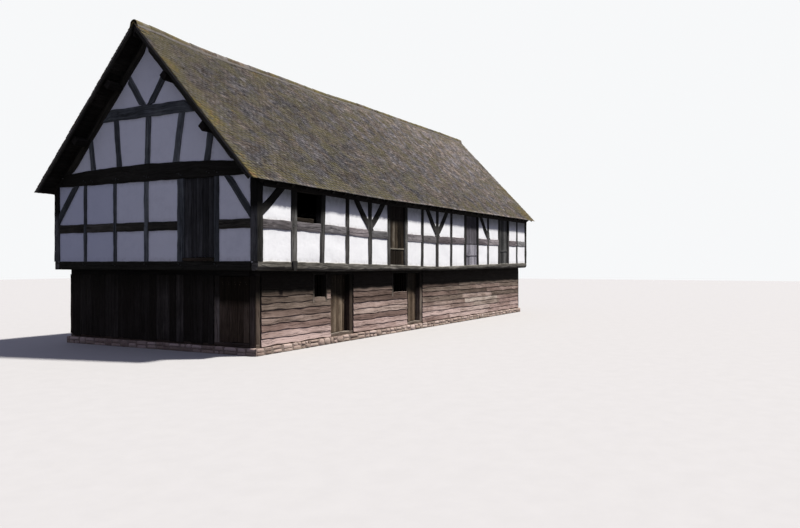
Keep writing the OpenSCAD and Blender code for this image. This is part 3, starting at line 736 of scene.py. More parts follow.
def makePiece(name, shapes, finish, slot, replaced=(), body="house", settled=True, crease=38.0):
    # one mesh of quads, which rides on a body and may stand for nodes of the frame
    shape = joined(shapes)
    points = settle(shape["points"]) if settled else shape["points"]
    faces = shape["faces"].astype(np.int32)
    mesh = bpy.data.meshes.new(name)
    mesh.vertices.add(len(points))
    mesh.vertices.foreach_set("co", points.astype(np.float32).ravel())
    mesh.loops.add(faces.size)
    mesh.loops.foreach_set("vertex_index", faces.ravel())
    mesh.polygons.add(len(faces))
    mesh.polygons.foreach_set("loop_start", np.arange(len(faces), dtype=np.int32) * 4)
    mesh.uv_layers.new(name="grain").uv.foreach_set("vector", shape["grain"].astype(np.float32).ravel())
    tint = mesh.attributes.new("tint", "FLOAT_VECTOR", "POINT")
    tint.data.foreach_set("vector", shape["tint"].astype(np.float32).ravel())
    mesh.update(calc_edges=True)
    mesh.validate()
    if crease:
        mesh.shade_smooth()
        mesh.set_sharp_from_angle(angle=math.radians(crease))
    mesh.materials.append(finishes[finish])
    piece = bpy.data.objects.new(name, mesh)
    scene.collection.objects.link(piece)
    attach(piece, body)
    if replaced:
        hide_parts(*replaced)


def refinish(nodeName, finish):
    # a node of the frame that shows keeps its shape and gets a finish
    materials = frame["nodes"][nodeName].data.materials
    materials.clear()
    materials.append(finishes[finish])


# Reading the frame's solids


def solidsOf(nodeName):
    # the node's separate solids: points that lie together are merged, then labels spread over the triangles
    mesh = frame["nodes"][nodeName].data
    places = np.zeros(len(mesh.vertices) * 3, np.float32)
    mesh.vertices.foreach_get("co", places)
    mesh.calc_loop_triangles()
    triangles = np.zeros(len(mesh.loop_triangles) * 3, np.int32)
    mesh.loop_triangles.foreach_get("vertices", triangles)
    keys, merged = np.unique(np.round(places.reshape(-1, 3), 5), axis=0, return_inverse=True)
    triangles = merged.reshape(-1)[triangles].reshape(-1, 3)
    label = np.arange(len(keys))
    while True:
        lowest = label[triangles].min(1)
        spread = label.copy()
        np.minimum.at(spread, triangles, lowest[:, None])
        if (spread == label).all():
            break
        label = spread
    solids = []
    for mark in np.unique(label[triangles[:, 0]]):
        own = triangles[label[triangles[:, 0]] == mark]
        used, local = np.unique(own, return_inverse=True)
        solids.append({"points": keys[used].astype(float), "triangles": local.reshape(-1, 3)})
    return solids


def boxOf(solid):
    return solid["points"].min(0), solid["points"].max(0)


def axesOf(solid):
    # length: the longest axis of the surface's spread; outward: the normal of the largest flat face square
    # to it. Both are turned to the side of one slanting direction, so that like timbers get like axes
    onward = np.array([1.0, 1.7, 2.3])
    corner = solid["points"][solid["triangles"]]
    cross = np.cross(corner[:, 1] - corner[:, 0], corner[:, 2] - corner[:, 0])
    area = np.linalg.norm(cross, axis=1) / 2
    middle = corner.mean(1)
    centre = (middle * area[:, None]).sum(0) / area.sum()
    corner, middle = corner - centre, middle - centre
    spread = np.einsum("t,tki,tkj->ij", area, corner, corner)
    spread += 9 * np.einsum("t,ti,tj->ij", area, middle, middle)
    along = np.linalg.eigh(spread)[1][:, -1]
    normal = np.round(cross / (2 * area[:, None] + 1e-12), 2)
    normal *= np.where(normal @ onward < 0, -1, 1)[:, None]
    kinds, which = np.unique(normal, axis=0, return_inverse=True)
    weight = np.bincount(which.reshape(-1), weights=area)
    weight[np.abs(kinds @ along) > 0.3 * np.linalg.norm(kinds, axis=1)] = 0
    outward = kinds[weight.argmax()]
    outward = outward / np.linalg.norm(outward)
    along = along - outward * (along @ outward)
    along /= np.linalg.norm(along)
    along *= 1 if along @ onward > 0 else -1
    return along, np.cross(outward, along), outward, centre


def slicesOf(solid, axes, step):
    # the solid's extent across its length at each station, from the points where its edges cross the
    # station's plane
    along, side, outward = axes[:3]
    points, triangles = solid["points"], solid["triangles"]
    edges = np.concatenate([triangles[:, pair] for pair in ([0, 1], [1, 2], [2, 0])])
    edges = np.unique(np.sort(edges, axis=1), axis=0)
    place = points @ along
    low, high = place.min(), place.max()
    count = max(6, int((high - low) / step) + 2)
    stretch = low + (high - low) * np.linspace(0.002, 0.998, count)
    a, b = place[edges[:, 0]], place[edges[:, 1]]
    level = np.abs(b - a) < 1e-9
    share = (stretch[:, None] - a) / np.where(level, 1e9, b - a)
    crossing = (share >= 0) & (share <= 1) & ~level
    extents = []
    for axis in (side, outward):
        value = points @ axis
        met = value[edges[:, 0]] + share * (value[edges[:, 1]] - value[edges[:, 0]])
        least, most = np.where(crossing, met, 1e9).min(1), np.where(crossing, met, -1e9).max(1)
        extents.append(np.stack([least, most], -1))
    return stretch, extents[0], extents[1]


# Hewn timbers and boards

plainTimber = {
    "wane": 0.004,  # how far the sides wander in and out
    "waneReach": 1.0,  # how long their waves are
    "dent": 0.0015,  # how far the two faces wander
    "round": 0.01,  # radius of the worn edges
    "cornerPoints": 3,
    "crack": 0.0,  # depth of the drying cracks
    "gape": 0.004,  # half the width of a crack
    "bury": 0.0,  # how far each end runs on into its neighbour
    "tone": (0.3, 0.7),
    "hue": 0.0,
    "wornEdges": {},  # radius along an edge that weather has eaten away, by the number of the edge
}


def hew(stretch, across, deep, axes, look, draw):
    # one timber: a rounded rectangle carried along its length; its faces wander by sine waves, its edges
    # are worn by a changing radius, and each face may carry a crack whose depth fades in and out
    look = {**plainTimber, **look}
    along, side, outward = axes[:3]
    phase = draw.uniform(0, 90, 24)

    def wander(k, size):
        slow, fast = stretch * turn / size + phase[k], stretch * turn / (size * 0.41) + phase[k + 1]
        return (np.sin(slow) + 0.6 * np.sin(fast)) / 1.6

    wane, dent = look["wane"], look["dent"]
    left = across[:, 0] + wane * (0.2 + 0.6 * wander(0, 0.9 * look["waneReach"]))
    right = across[:, 1] - wane * (0.2 + 0.6 * wander(2, 1.1 * look["waneReach"]))
    back = deep[:, 0] + dent * (0.5 + wander(4, 0.7))
    front = deep[:, 1] - dent * (0.5 + wander(6, 0.8))
    half, thick = np.maximum((right - left) / 2, 0.002), np.maximum((front - back) / 2, 0.002)
    least = np.minimum(half, thick)
    middleSide, middleOut = (right + left) / 2, (front + back) / 2
    radius = np.minimum(look["round"] * (1 + 0.45 * wander(8, 0.6)), 0.45 * least)
    angles = np.radians(np.linspace(0, 90, look["cornerPoints"]))
    rows = []
    for quarter, (s, o) in enumerate(((1, 1), (-1, 1), (-1, -1), (1, -1))):
        bend = radius
        if quarter in look["wornEdges"]:
            bend = np.minimum(look["wornEdges"][quarter] * (1 + 0.25 * wander(16, 1.3)), 1.2 * half)
        for angle in angles + quarter * turn / 4:
            rows.append((middleSide + s * (half - bend) + bend * math.cos(angle),
                         middleOut + o * (thick - bend) + bend * math.sin(angle)))
        if look["crack"]:
            # even quarters are followed by the front or back face, odd ones by a side
            wide = quarter % 2 == 0
            depth = look["crack"] * np.clip(1.5 * wander(10 + 2 * quarter, 1.9) - 0.35, 0, 1)
            depth = np.minimum(depth, 0.4 * least)
            centre = 0.45 * (half if wide else thick) * wander(12 + 2 * quarter, 3.1)
            way = 1 if quarter in (0, 1) else -1
            for shift, dip in ((look["gape"], 0), (0, 1), (-look["gape"], 0)):
                if wide:
                    rows.append((middleSide + centre + way * shift, middleOut + o * (thick - dip * depth)))
                else:
                    rows.append((middleSide + s * (half - dip * depth), middleOut + centre + way * shift))
    sideOf, outOf = (np.stack([row[k] for row in rows], -1) for k in (0, 1))
    stretch = stretch.copy()
    stretch[0] -= look["bury"]
    stretch[-1] += look["bury"]
    ring = stretch[:, None, None] * along + sideOf[:, :, None] * side + outOf[:, :, None] * outward
    middle = ring[len(stretch) // 2]
    steps = np.linalg.norm(np.roll(middle, -1, axis=0) - middle, axis=1)
    girth = np.concatenate([[0], np.cumsum(steps)]) + draw.uniform(0, 30)
    tone = draw.uniform(*look["tone"])
    hue = min(max(draw.uniform() + look["hue"], 0.0), 1.0)
    return tubes(ring[None], stretch[None] - stretch[0] + draw.uniform(0, 60), girth[None], (tone, hue, 0.0))


def hewBetween(start, end, width, thick, outward, look, draw, step=0.15):
    # a straight timber or board between two points, with its face turned towards outward
    start, end, outward = (np.asarray(v, float) for v in (start, end, outward))
    along = (end - start) / np.linalg.norm(end - start)
    outward = outward - along * (outward @ along)
    outward /= np.linalg.norm(outward)
    side = np.cross(outward, along)
    count = max(4, int(np.linalg.norm(end - start) / step) + 2)
    stretch = np.linspace(start @ along, end @ along, count)
    level = np.ones((count, 1))
    across = level * (start @ side + np.array([-width / 2, width / 2]))
    deep = level * (start @ outward + np.array([-thick / 2, thick / 2]))
    return hew(stretch, across, deep, (along, side, outward), look, draw)


# Timbers of the frame

frameTimber = {"wane": 0.007, "dent": 0.002, "round": 0.012, "crack": 0.009, "bury": 0.010}


def timber(finish, slot, tone, step, **more):
    # tone is the range that the timbers' tones are drawn from, step the metres between stations. more may
    # hold proud, how far the outer face stands out, widen, which is added on each side below widenBelow,
    # thicken, which a brace gets on its upper edge, undercut, places along it and the worn radius there,
    # fullEnds, and paler, what the tone gains from the middle of the house to its end
    return {**frameTimber, "finish": finish, "slot": slot, "tone": tone, "step": step, **more}


timbers = {
    "ground_sills_long": timber("lowerOak", "grey_oak", (0.3, 0.9), 0.3, settled=False),
    "ground_sills_gable": timber("lowerOak", "grey_oak", (0.1, 0.5), 0.3, settled=False),
    "lower_posts": timber("lowerOak", "grey_oak", (0.0, 0.9), 0.12, settled=False, wane=0.006),
    "lower_rails": timber("lowerOak", "grey_oak", (0.1, 0.6), 0.15, settled=False, wane=0.003),
    "lower_plates_long": timber("deepShadeOak", "grey_oak", (0.1, 0.5), 0.3),
    "lower_plates_gable": timber("deepShadeOak", "grey_oak", (0.1, 0.5), 0.3),
    "floor_joists": timber("deepShadeOak", "dark_oak", (0.3, 0.7), 0.5, crack=0.0, wane=0.006),
    "jetty_joists": timber("deepShadeOak", "dark_oak", (0.3, 0.7), 0.2, wane=0.006),
    "sills_long": timber("silverOak", "grey_oak", (0.3, 0.5), 0.10, proud=0.026, round=0.022, wane=0.014,
                         undercut=((-9.3, -7.0), (0.145, 0.095)), cornerPoints=4),
    "sills_gable": timber("darkOak", "grey_oak", (0.1, 0.5), 0.12, proud=0.022, round=0.020, wane=0.012,
                          undercut=((-1.0, 1.0), (0.08, 0.08)), cornerPoints=4),
    "corner_posts": timber("cornerOak", "oak", (0.1, 0.4), 0.1),
    "front_posts": timber("wallOak", "oak", (0.25, 0.85), 0.09, wane=0.006, fullEnds=True),
    "back_posts": timber("wallOak", "oak", (0.25, 0.85), 0.12, wane=0.006, fullEnds=True),
    "long_rails": timber("greyOak", "oak", (0.25, 0.75), 0.10, wane=0.010, fullEnds=True, paler=0.10),
    "long_braces": timber("wallOak", "oak", (0.2, 0.7), 0.09, thicken=0.055),
    "wall_plates": timber("deepShadeOak", "dark_oak", (0.3, 0.6), 0.3),
    "gable_posts": timber("paintedSkylightOak", "oak", (0.2, 0.7), 0.09, wane=0.012, fullEnds=True),
    "gable_rails": timber("darkOak", "oak", (0.6, 1.1), 0.10, wane=0.011),
    "gable_braces": timber("paintedSkylightOak", "oak", (0.1, 0.6), 0.09, wane=0.010, widen=0.024, widenBelow=4.2),
    "tie_beams": timber("darkOak", "oak", (-0.3, 0.1), 0.10, proud=0.016, round=0.020, wane=0.012),
    "collars": timber("paintedSkylightOak", "oak", (0.2, 0.6), 0.10, proud=0.012, round=0.018, wane=0.014),
    "principals": timber("darkOak", "oak", (0.2, 0.6), 0.15, proud=0.008),
    "loft_boards": timber("tanBoards", "grey_oak", (0.25, 0.5), 0.06, bury=0.0),
    "purlins": timber("deepShadeOak", "dark_oak", (0.1, 0.4), 0.25, bury=0.0),
    "ridge_beam": timber("deepShadeOak", "dark_oak", (0.3, 0.7), 0.4, bury=0.0),
    "rafters": timber("deepShadeOak", "dark_oak", (0.3, 0.7), 0.45, crack=0.0, bury=0.0),
    "bargeboards": timber("darkOak", "grey_oak", (0.2, 0.6), 0.12, bury=0.0, wane=0.010),
}


def hewNode(nodeName, look, seed):
    # a hewn timber for each solid of the node, from the solid's own slices
    draw = np.random.default_rng(seed)
    shapes = []
    for solid in solidsOf(nodeName):
        own = dict(look)
        axes = axesOf(solid)
        side, outward, centre = axes[1:]
        stretch, across, deep = slicesOf(solid, axes, look["step"])
        if "fullEnds" in look:
            # a shoulder or notch at an end is filled out to the timber's own width
            width = np.median(across[:, 1] - across[:, 0])
            inner = (stretch > stretch[0] + width) & (stretch < stretch[-1] - width)
            across = np.stack([np.interp(stretch, stretch[inner], edge[inner]) for edge in across.T], -1)
        facesOut = outward @ (centre * (1, 1, 0)) > 0
        if "proud" in look:
            deep[:, int(facesOut)] += look["proud"] * (1 if facesOut else -1)
        if "undercut" in look:
            # the lower outer edge is the one that weather has eaten away
            edges = (0, 1) if facesOut else (3, 2)
            own["wornEdges"] = {edges[int(side[2] >= 0)]: np.interp(stretch, *look["undercut"])}
        if "widen" in look and centre[2] < look["widenBelow"]:
            across = across + look["widen"] * np.array([-1, 1])
        if "thicken" in look:
            across[:, int(side[2] > 0)] += look["thicken"] * (1 if side[2] > 0 else -1)
        if "paler" in look:
            own["tone"] = tuple(t + look["paler"] * centre[0] / house["halfLength"] for t in look["tone"])
        shapes.append(hew(stretch, across, deep, axes, own, draw))
    settled = look.get("settled", True)
    makePiece(nodeName + ".hewn", shapes, look["finish"], look["slot"], [nodeName], settled=settled)


for number, (nodeName, look) in enumerate(timbers.items()):
    hewNode(nodeName, look, 100 + number)

tongue = {
    "x": -7.875,
    "width": 0.185,
    "thick": 0.031,
    "low": 1.97,
    "high": 2.185,
    "stations": 9,
    "taper": 0.62,  # share of the width that the tongue's tip has
    "wane": 0.006,
    "dent": 0.003,
    "round": 0.008,
    "tone": (0.3, 0.5),
}


def lapTongue():
    # the foot of one post runs on over the sill's face; its half width grows upwards by a square root
    look = tongue
    stretch = np.linspace(look["low"], look["high"], look["stations"])
    share = np.sqrt(np.linspace(0, 1, look["stations"]))
    half = look["width"] / 2 * (look["taper"] + (1 - look["taper"]) * share)
    axes = (np.array([0, 0, 1.0]), np.array([-1.0, 0, 0]), np.array([0, -1.0, 0]))
    across = np.stack([-look["x"] - half, -look["x"] + half], -1)
    face = house["halfWidth"] + 0 * half
    deep = np.stack([face, face + look["thick"]], -1)
    shape = hew(stretch, across, deep, axes, look, np.random.default_rng(128))
    makePiece("front_posts.tongue", [shape], "wallOak", "oak")


lapTongue()

pegs = {
    "radius": 0.0115,
    "high": 0.007,
    "apart": 0.075,
    "stray": 0.008,  # how far a peg may be off its mark
    "heights": {"rail": 3.02, "sill": 2.085, "tie": 4.22, "collar": 5.80},
    "longSillProud": 0.024,
    "gableProud": {"rail": 0.0, "sill": 0.020, "tie": 0.014, "collar": 0.010},
    # a head's rings, as shares of its radius and of its height
    "headRings": ((1.0, -0.6), (1.0, 0.25), (0.8, 0.75), (0.35, 1.0)),
}


def studHead(place, outward, radius, high, draw, around=8):
    # a domed head: rings that shrink as they rise from the surface
    outward = np.asarray(outward, float) / np.linalg.norm(outward)
    side = np.cross(outward, (0.1, 0.2, 1.0))
    side /= np.linalg.norm(side)
    other = np.cross(outward, side)
    angle = np.linspace(0, turn, around + 1)[:-1] + draw.uniform(0, 1)
    flat = np.cos(angle)[:, None] * side + np.sin(angle)[:, None] * other
    rings = [np.asarray(place) + flat * radius * r + outward * high * h for r, h in pegs["headRings"]]
    rings = np.stack(rings)
    along, girth = np.linspace(0, radius, len(rings)), np.linspace(0, radius * 6, around + 1)
    return tubes(rings[None], along[None], girth[None], (draw.uniform(0.2, 0.6), draw.uniform(), 0))


def drivePegs():
    # oak pegs in pairs, where the rails, sills, ties and collars are tenoned to the posts and studs
    look = pegs
    heights = look["heights"]
    pair = (-look["apart"] / 2, look["apart"] / 2)
    draw = np.random.default_rng(129)
    heads = []

    def drive(place, outward):
        stray = draw.uniform(-look["stray"], look["stray"], 3) * (np.abs(outward) < 0.5)
        radius, high = look["radius"] * draw.uniform(0.85, 1.15), look["high"] * draw.uniform(0.4, 1.2)
        heads.append(studHead(np.asarray(place) + stray, outward, radius, high, draw))

    for node, facing in (("front_posts", -1), ("back_posts", 1)):
        for low, high in map(boxOf, solidsOf(node)):
            if high[2] - low[2] < 1.0:
                continue
            x, face = (low[0] + high[0]) / 2, facing * house["halfWidth"]
            sillFace = face + facing * look["longSillProud"]
            for shift in pair:
                drive((x + shift, face, heights["rail"] + shift * 0.6), (0, facing, 0))
                drive((x + shift, sillFace, heights["sill"] + shift * 0.3), (0, facing, 0))
    for low, high in map(boxOf, solidsOf("gable_posts")):
        facing = 1 if low[0] > 0 else -1
        y = (low[1] + high[1]) / 2
        if low[2] < 2.5:
            joints = ("rail", "sill", "tie")
        elif high[2] > 5.5:
            joints = ("tie", "collar")
        else:
            joints = ("tie",)
        for name in joints:
            x = facing * (house["halfLength"] + look["gableProud"][name])
            for shift in pair:
                drive((x, y + shift, heights[name] + shift * 0.5), (facing, 0, 0))
    makePiece("frame.pegs", heads, "paintedSkylightOak", "oak")


drivePegs()
print("timbers hewn")

# Plaster between the timbers

infill = {
    "bow": 0.006,  # how far a sheet swells in its middle
    "wave": 0.004,
    "waveSize": 0.55,
    "front": 0.022,  # metres that the sheets lie behind the timbers' faces
    "thick": 0.07,
    "across": 15,  # points of a sheet's grid
    "up": 14,
    "corner": 0.15,  # the outer bays begin this far from a wall's ends
    "sillLap": 0.03,  # how far the sheets run on behind sills and plates
    "railLap": 0.06,  # and behind rails, ties and collars
    "edge": 0.05,  # the stain at a sheet's edge is measured from here
    "probe": 0.25,  # the frame's panel is looked for this far above a sheet's foot
    "eaves": (3.40, 3.76),  # between these heights painted shade darkens the long walls under the eaves
    "eavesShade": 0.85,
    # painted bluish shade of the bays that start at a place or beyond it, most on the west gable's back half
    "paintedGableShade": {
        "long": ((-10.0, 0.0),),
        "east": ((-10.0, 0.40),),
        "west": ((-10.0, 0.0), (-1.0, 0.30), (0.5, 0.85)),
    },
    "topGableShade": 0.05,
}


def ontoWall(wall, s, depth, z):
    # a point s along the wall, depth behind its face and z high
    out = wall["facing"] * (wall["face"] - depth)
    return np.stack([s, out, z] if wall["axis"] == 0 else [out, s, z], -1)


def plasterSheet(wall, sides, low, high, draw, paintedGableShade):
    # a closed sheet, whose front and back rows make each ring. Its two sides are functions of the share of
    # its height, high is one of the place along the wall. The front swells by the root of half a sine each
    # way and waves
    look = infill
    left, right = sides
    u = np.linspace(0, 1, look["across"])
    v = np.linspace(0, 1, look["up"])[:, None]
    s = left(v) + (right(v) - left(v)) * u
    z = low + (high(s) - low) * v
    swell = np.sin(np.pi * u) ** 0.5 * np.sin(np.pi * v) ** 0.5
    bulge, seed = draw.uniform(-0.4, 1.0), draw.integers(1 << 30)
    wave = look["wave"] * ripple(np.stack([s, 0 * s, z], -1), look["waveSize"], seed)
    front = ontoWall(wall, s, look["front"] - look["bow"] * swell * bulge + wave, z)
    back = ontoWall(wall, s, np.full_like(s, look["front"] + look["thick"]), z)
    ring = np.concatenate([front, back[:, ::-1]], 1)
    width = right(0.5) - left(0.5)
    edge = np.minimum(np.minimum(u, 1 - u) * width, np.minimum(v, 1 - v) * (high(s).max() - low))
    edge = np.maximum(edge - look["edge"], 0)
    shaded = np.interp(z, look["eaves"], (0, look["eavesShade"])) if wall["name"] == "long" else 0 * z
    edge, shaded = (np.concatenate([part, part[:, ::-1]], 1) for part in (edge, shaded))
    tint = np.stack([shaded, np.full_like(edge, paintedGableShade), edge], -1)
    girth = np.linspace(0, 2 * abs(width), 2 * look["across"] + 1) + draw.uniform()
    return tubes(ring[None], v[:, 0][None], girth[None], tint[None])


def fixedAt(value):
    return lambda v: value + 0 * v


def slanting(start, end):
    return lambda v: start + (end - start) * v


def wallBays(wall, posts):
    # the lines that part the bays: the wall's two ends and the centre lines of the posts between them
    axis = wall["axis"]
    rows = sorted((boxOf(p) for p in posts), key=lambda b: b[0][axis] + b[1][axis])
    return [-wall["end"]] + [(low[axis] + high[axis]) / 2 for low, high in rows] + [wall["end"]]


def hasPanel(panels, wall, middle, height, near=0.02, deep=0.6):
    # whether the frame has a panel at this place along the wall and this height
    axis, face = wall["axis"], wall["facing"] * wall["face"]
    for low, high in panels:
        inWidth = low[axis] - near < middle < high[axis] + near
        inHeight = low[2] - near < height < high[2] + near
        inWall = min(abs(low[1 - axis] - face), abs(high[1 - axis] - face)) < deep
        if inWidth and inHeight and inWall:
            return True
    return False


def baySheets(wall, panels, posts, draw):
    # each bay has a sheet from sill to rail and one from rail to the wall's top, where the frame has a panel
    look = infill
    bands = ((house["sillTop"] - look["sillLap"], house["railLow"] + look["railLap"]),
             (house["railHigh"] - look["railLap"], wall["top"] + look["sillLap"]))
    bays = wallBays(wall, posts)
    shapes = []
    for left, right in zip(bays[:-1], bays[1:]):
        paintedGableShade = [share for start, share in look["paintedGableShade"][wall["name"]] if start <= left][-1]
        for low, high in bands:
            if hasPanel(panels, wall, (left + right) / 2, low + look["probe"]):
                sides = fixedAt(left), fixedAt(right)
                shapes.append(plasterSheet(wall, sides, low, fixedAt(high), draw, paintedGableShade))
    return shapes


def longPlaster(facing, nodeName, postName, seed):
    wall = {"name": "long", "axis": 0, "facing": facing, "face": house["halfWidth"],
            "end": house["halfLength"] - infill["corner"], "top": house["plateFoot"]}
    panels = [boxOf(p) for p in solidsOf(nodeName)]
    shapes = baySheets(wall, panels, solidsOf(postName), np.random.default_rng(seed))
    makePiece(nodeName + ".plaster", shapes, "wallPlaster", "plaster", [nodeName])


longPlaster(-1, "front_panels", "front_posts", 61)
longPlaster(1, "back_panels", "back_posts", 62)

gableTop = {
    "tieDeep": 0.30,  # how far the tie beam's top lies above the corner posts
    "underTiles": 0.24,  # the sheets' upper edges lie this far under the tiles
    "lowSide": 0.12,  # upright distance from the tiles to the outer sheets' sides
    "topSide": 0.30,  # the same for the sheet above the collar
    "strutTop": 0.05,  # the struts are followed to this height above the collar's lower edge
    "foot": 0.35,  # a strut's foot and head are read from these lengths of it
    "head": 0.25,
    "least": 0.02,  # a sheet keeps this height at its thin end
}


def roofHeight(y, depth):
    # height of a plane that lies a square depth under the tiles
    return roofForm["apex"] - np.abs(y) * math.tan(roofForm["pitch"]) - depth / math.cos(roofForm["pitch"])


def gableHalf(height, drop):
    # half the gable's width at a height, where the roof has come down by drop
    return (roofForm["apex"] - height - drop) / math.tan(roofForm["pitch"])


def strutLine(stud, tall):
    # a leaning strut's middle at its foot and at a height of tall above it
    look = gableTop
    y, z = stud["points"][:, 1], stud["points"][:, 2]
    foot, head = y[z < z.min() + look["foot"]].mean(), y[z > z.max() - look["head"]].mean()
    return foot, foot + (head - foot) * tall / max(z.max() - z.min(), 0.3)


def gableTopSheets(wall, studs, draw):
    # a sheet from strut to strut between tie and collar, and one above the collar; all end under the rafters
    look, lap, paintedGableShade = gableTop, infill["railLap"], infill["topGableShade"]
    tieTop = house["cornerTop"] + look["tieDeep"]
    collarLow, collarHigh = house["collarLow"], house["collarHigh"]
    studs = sorted(studs, key=lambda s: s["points"][:, 1].mean())
    outer, inner = (gableHalf(height, look["lowSide"]) for height in (tieTop, collarLow))
    lines = [strutLine(stud, collarLow + look["strutTop"] - tieTop) for stud in studs]
    lines = [(-outer, -inner)] + lines + [(outer, inner)]

    def underRafters(s):
        high = np.minimum(collarLow + lap, roofHeight(s, look["underTiles"]))
        return np.maximum(high, tieTop + look["least"])

    def underRidge(s):
        return np.maximum(roofHeight(s, look["underTiles"]), collarHigh - look["least"])

    shapes = []
    for left, right in zip(lines[:-1], lines[1:]):
        sides = slanting(*left), slanting(*right)
        shapes.append(plasterSheet(wall, sides, tieTop - lap, underRafters, draw, paintedGableShade))
    half = gableHalf(collarHigh, look["topSide"])
    sides = fixedAt(-half), fixedAt(half)
    shapes.append(plasterSheet(wall, sides, collarHigh - lap, underRidge, draw, paintedGableShade))
    return shapes


def gablePlaster():
    # posts stand on the sill, studs on the tie beam
    draw = np.random.default_rng(63)
    panels = [boxOf(p) for p in solidsOf("gable_panels")]
    members = solidsOf("gable_posts")
    shapes = []
    for name, facing in (("west", -1), ("east", 1)):
        wall = {"name": name, "axis": 1, "facing": facing, "face": house["halfLength"],
                "end": house["halfWidth"] - infill["corner"], "top": house["cornerTop"]}
        own = [m for m in members if boxOf(m)[0][0] * facing > 0]
        posts = [m for m in own if boxOf(m)[0][2] < house["railLow"]]
        studs = [m for m in own if boxOf(m)[0][2] > house["plateFoot"]]
        shapes += baySheets(wall, panels, posts, draw) + gableTopSheets(wall, studs, draw)
    makePiece("gable_panels.plaster", shapes, "wallPlaster", "plaster", ["gable_panels"])


gablePlaster()
print("plaster floated")

# Clay tile roof

slopeLength = roofForm["eave"] / math.cos(roofForm["pitch"])
tileRows = {
    "gauge": 0.100,  # from course to course
    "width": 0.152,
    "length": 0.20,
    "thick": 0.0098,
    "tilt": 0.022,  # how much lower a tile's hidden head lies than its tail
    "rest": 0.004,  # how far the tails' faces lie under the roof's plane
    "joint": 0.0022,
    "camber": 0.0035,
    "skew": 0.006,
    "lift": 0.0036,
    "dip": 0.014,  # hollows of the old battens
    "slip": 0.011,
    "slipMost": 0.020,
    "wave": 0.012,  # how far whole courses wander
    "slipped": 0.008,  # share of the tiles that have slipped
    "slippedBy": (0.015, 0.04),
    "edge": 0.004,
    "eaveEdge": 0.006,
    "ragged": 0.008,  # how uneven the verges are
    "ridgeGap": 0.10,
    "tone": 0.41,
    "toneSpread": 0.070,
    "toneCloud": 0.05,
    "eaveTone": 0.25,
    "warm": 0.5,
    "warmSpread": 0.06,
    "warmCloud": 0.30,
}
growth = {
    # moss and lichen: shares, widths of the bells beside verges, ridge and eaves, and rises, each given by
    # its start, its length and its least
    "westVerge": 0.55,
    "eastVerge": 1.15,
    "eastRise": (2.1, 1.3, 0.25),
    "ridge": 0.72,
    "ridgeWidth": 0.8,
    "ridgeRise": (2, 4, 0.35),
    "eave": 0.20,
    "eaveRun": 5.4,
    "eaveWidth": 0.4,
    "patchSize": 1.6,
    "bare": 0.45,
    "patchy": 0.75,
    "everywhere": 0.22,
    "everywhereRise": (-13.5, 10, 0.4),
}
# how much paler places of the tiles are; towards the east partly painted sheen and distance haze
paleAndSheen = {
    "ridge": 0.20,
    "ridgeWidth": 0.7,
    "ridgeRise": (-9, 6, 0.3),
    "eastFade": (5, 4, 0),
    "upper": 0.27,
    "upperRise": (-4, 10, 0),
    "upperFade": (-5.25, 5, 0),
    "east": 0.16,
    "eastRise": (0, 9.25, -0.60),
    "eave": 0.06,
    "eaveRise": (3.6, 1.2, 0),
}


def onSlope(x, run, depth, facing):
    # a point of a slope: run metres down from the ridge line and depth metres square under the tile surface
    sine, cosine = math.sin(roofForm["pitch"]), math.cos(roofForm["pitch"])
    across, up = facing * (run * cosine - depth * sine), roofForm["apex"] - run * sine - depth * cosine
    return np.stack(np.broadcast_arrays(x, across, up), -1)


def bell(distance, width):
    return np.exp(-((distance / width) ** 2))


def rise(value, start, length, least):
    # grows evenly over a length beyond start, from least to 1
    return np.clip((value - start) / length, least, 1)


def growthAt(x, run):
    # how much moss and lichen a place on the slope carries: most beside the verges, at the east one only
    # below its middle, some along the ridge and at the eaves
    look = growth
    west = x < 0
    verge = bell(roofForm["verge"] - np.abs(x), np.where(west, look["westVerge"], look["eastVerge"]))
    verge = verge * np.where(west, 1.0, rise(run, *look["eastRise"]))
    ridge = look["ridge"] * bell(run, look["ridgeWidth"]) * rise(-x, *look["ridgeRise"])
    eave = look["eave"] * bell(look["eaveRun"] - run, look["eaveWidth"])
    patch = 0.5 + 0.5 * ripple(np.stack([x, run * 1.3], -1), look["patchSize"], 71)
    thick = np.maximum(np.maximum(verge, ridge), eave) * (look["bare"] + look["patchy"] * patch)
    return np.clip(thick + look["everywhere"] * patch * rise(x, *look["everywhereRise"]), 0, 1)


def paleAndSheenAt(x, run):
    # how much paler a place is: along the ridge, and on the upper part of the slope towards the east, there
    # partly painted sheen and haze; darker at the eaves
    look = paleAndSheen
    ridge = look["ridge"] * bell(run, look["ridgeWidth"]) * rise(x, *look["ridgeRise"])
    ridge = ridge * (1 - 0.5 * rise(x, *look["eastFade"]))
    upper = look["upper"] * rise(x, *look["upperRise"]) * rise(-run, *look["upperFade"])
    east = look["east"] * rise(x, *look["eastRise"])
    return ridge + upper + east - look["eave"] * rise(run, *look["eaveRise"])


def tileCells(first, last):
    # the tiles' left and right edges and the runs of their tails; every other course is shifted by half a
    # tile
    look = tileRows
    columns = int(round((last - first) / look["width"]))
    width = (last - first) / columns
    lefts, rights, tails = [], [], []
    for course in range(int((slopeLength - look["ridgeGap"]) / look["gauge"])):
        odd = course % 2
        edges = np.clip(first + (np.arange(columns + 1 + odd) - odd / 2) * width, first, last)
        lefts.append(edges[:-1])
        rights.append(edges[1:])
        tails.append(np.full(columns + odd, slopeLength - look["eaveEdge"] - course * look["gauge"]))
    return [np.concatenate(v) for v in (lefts, rights, tails)]


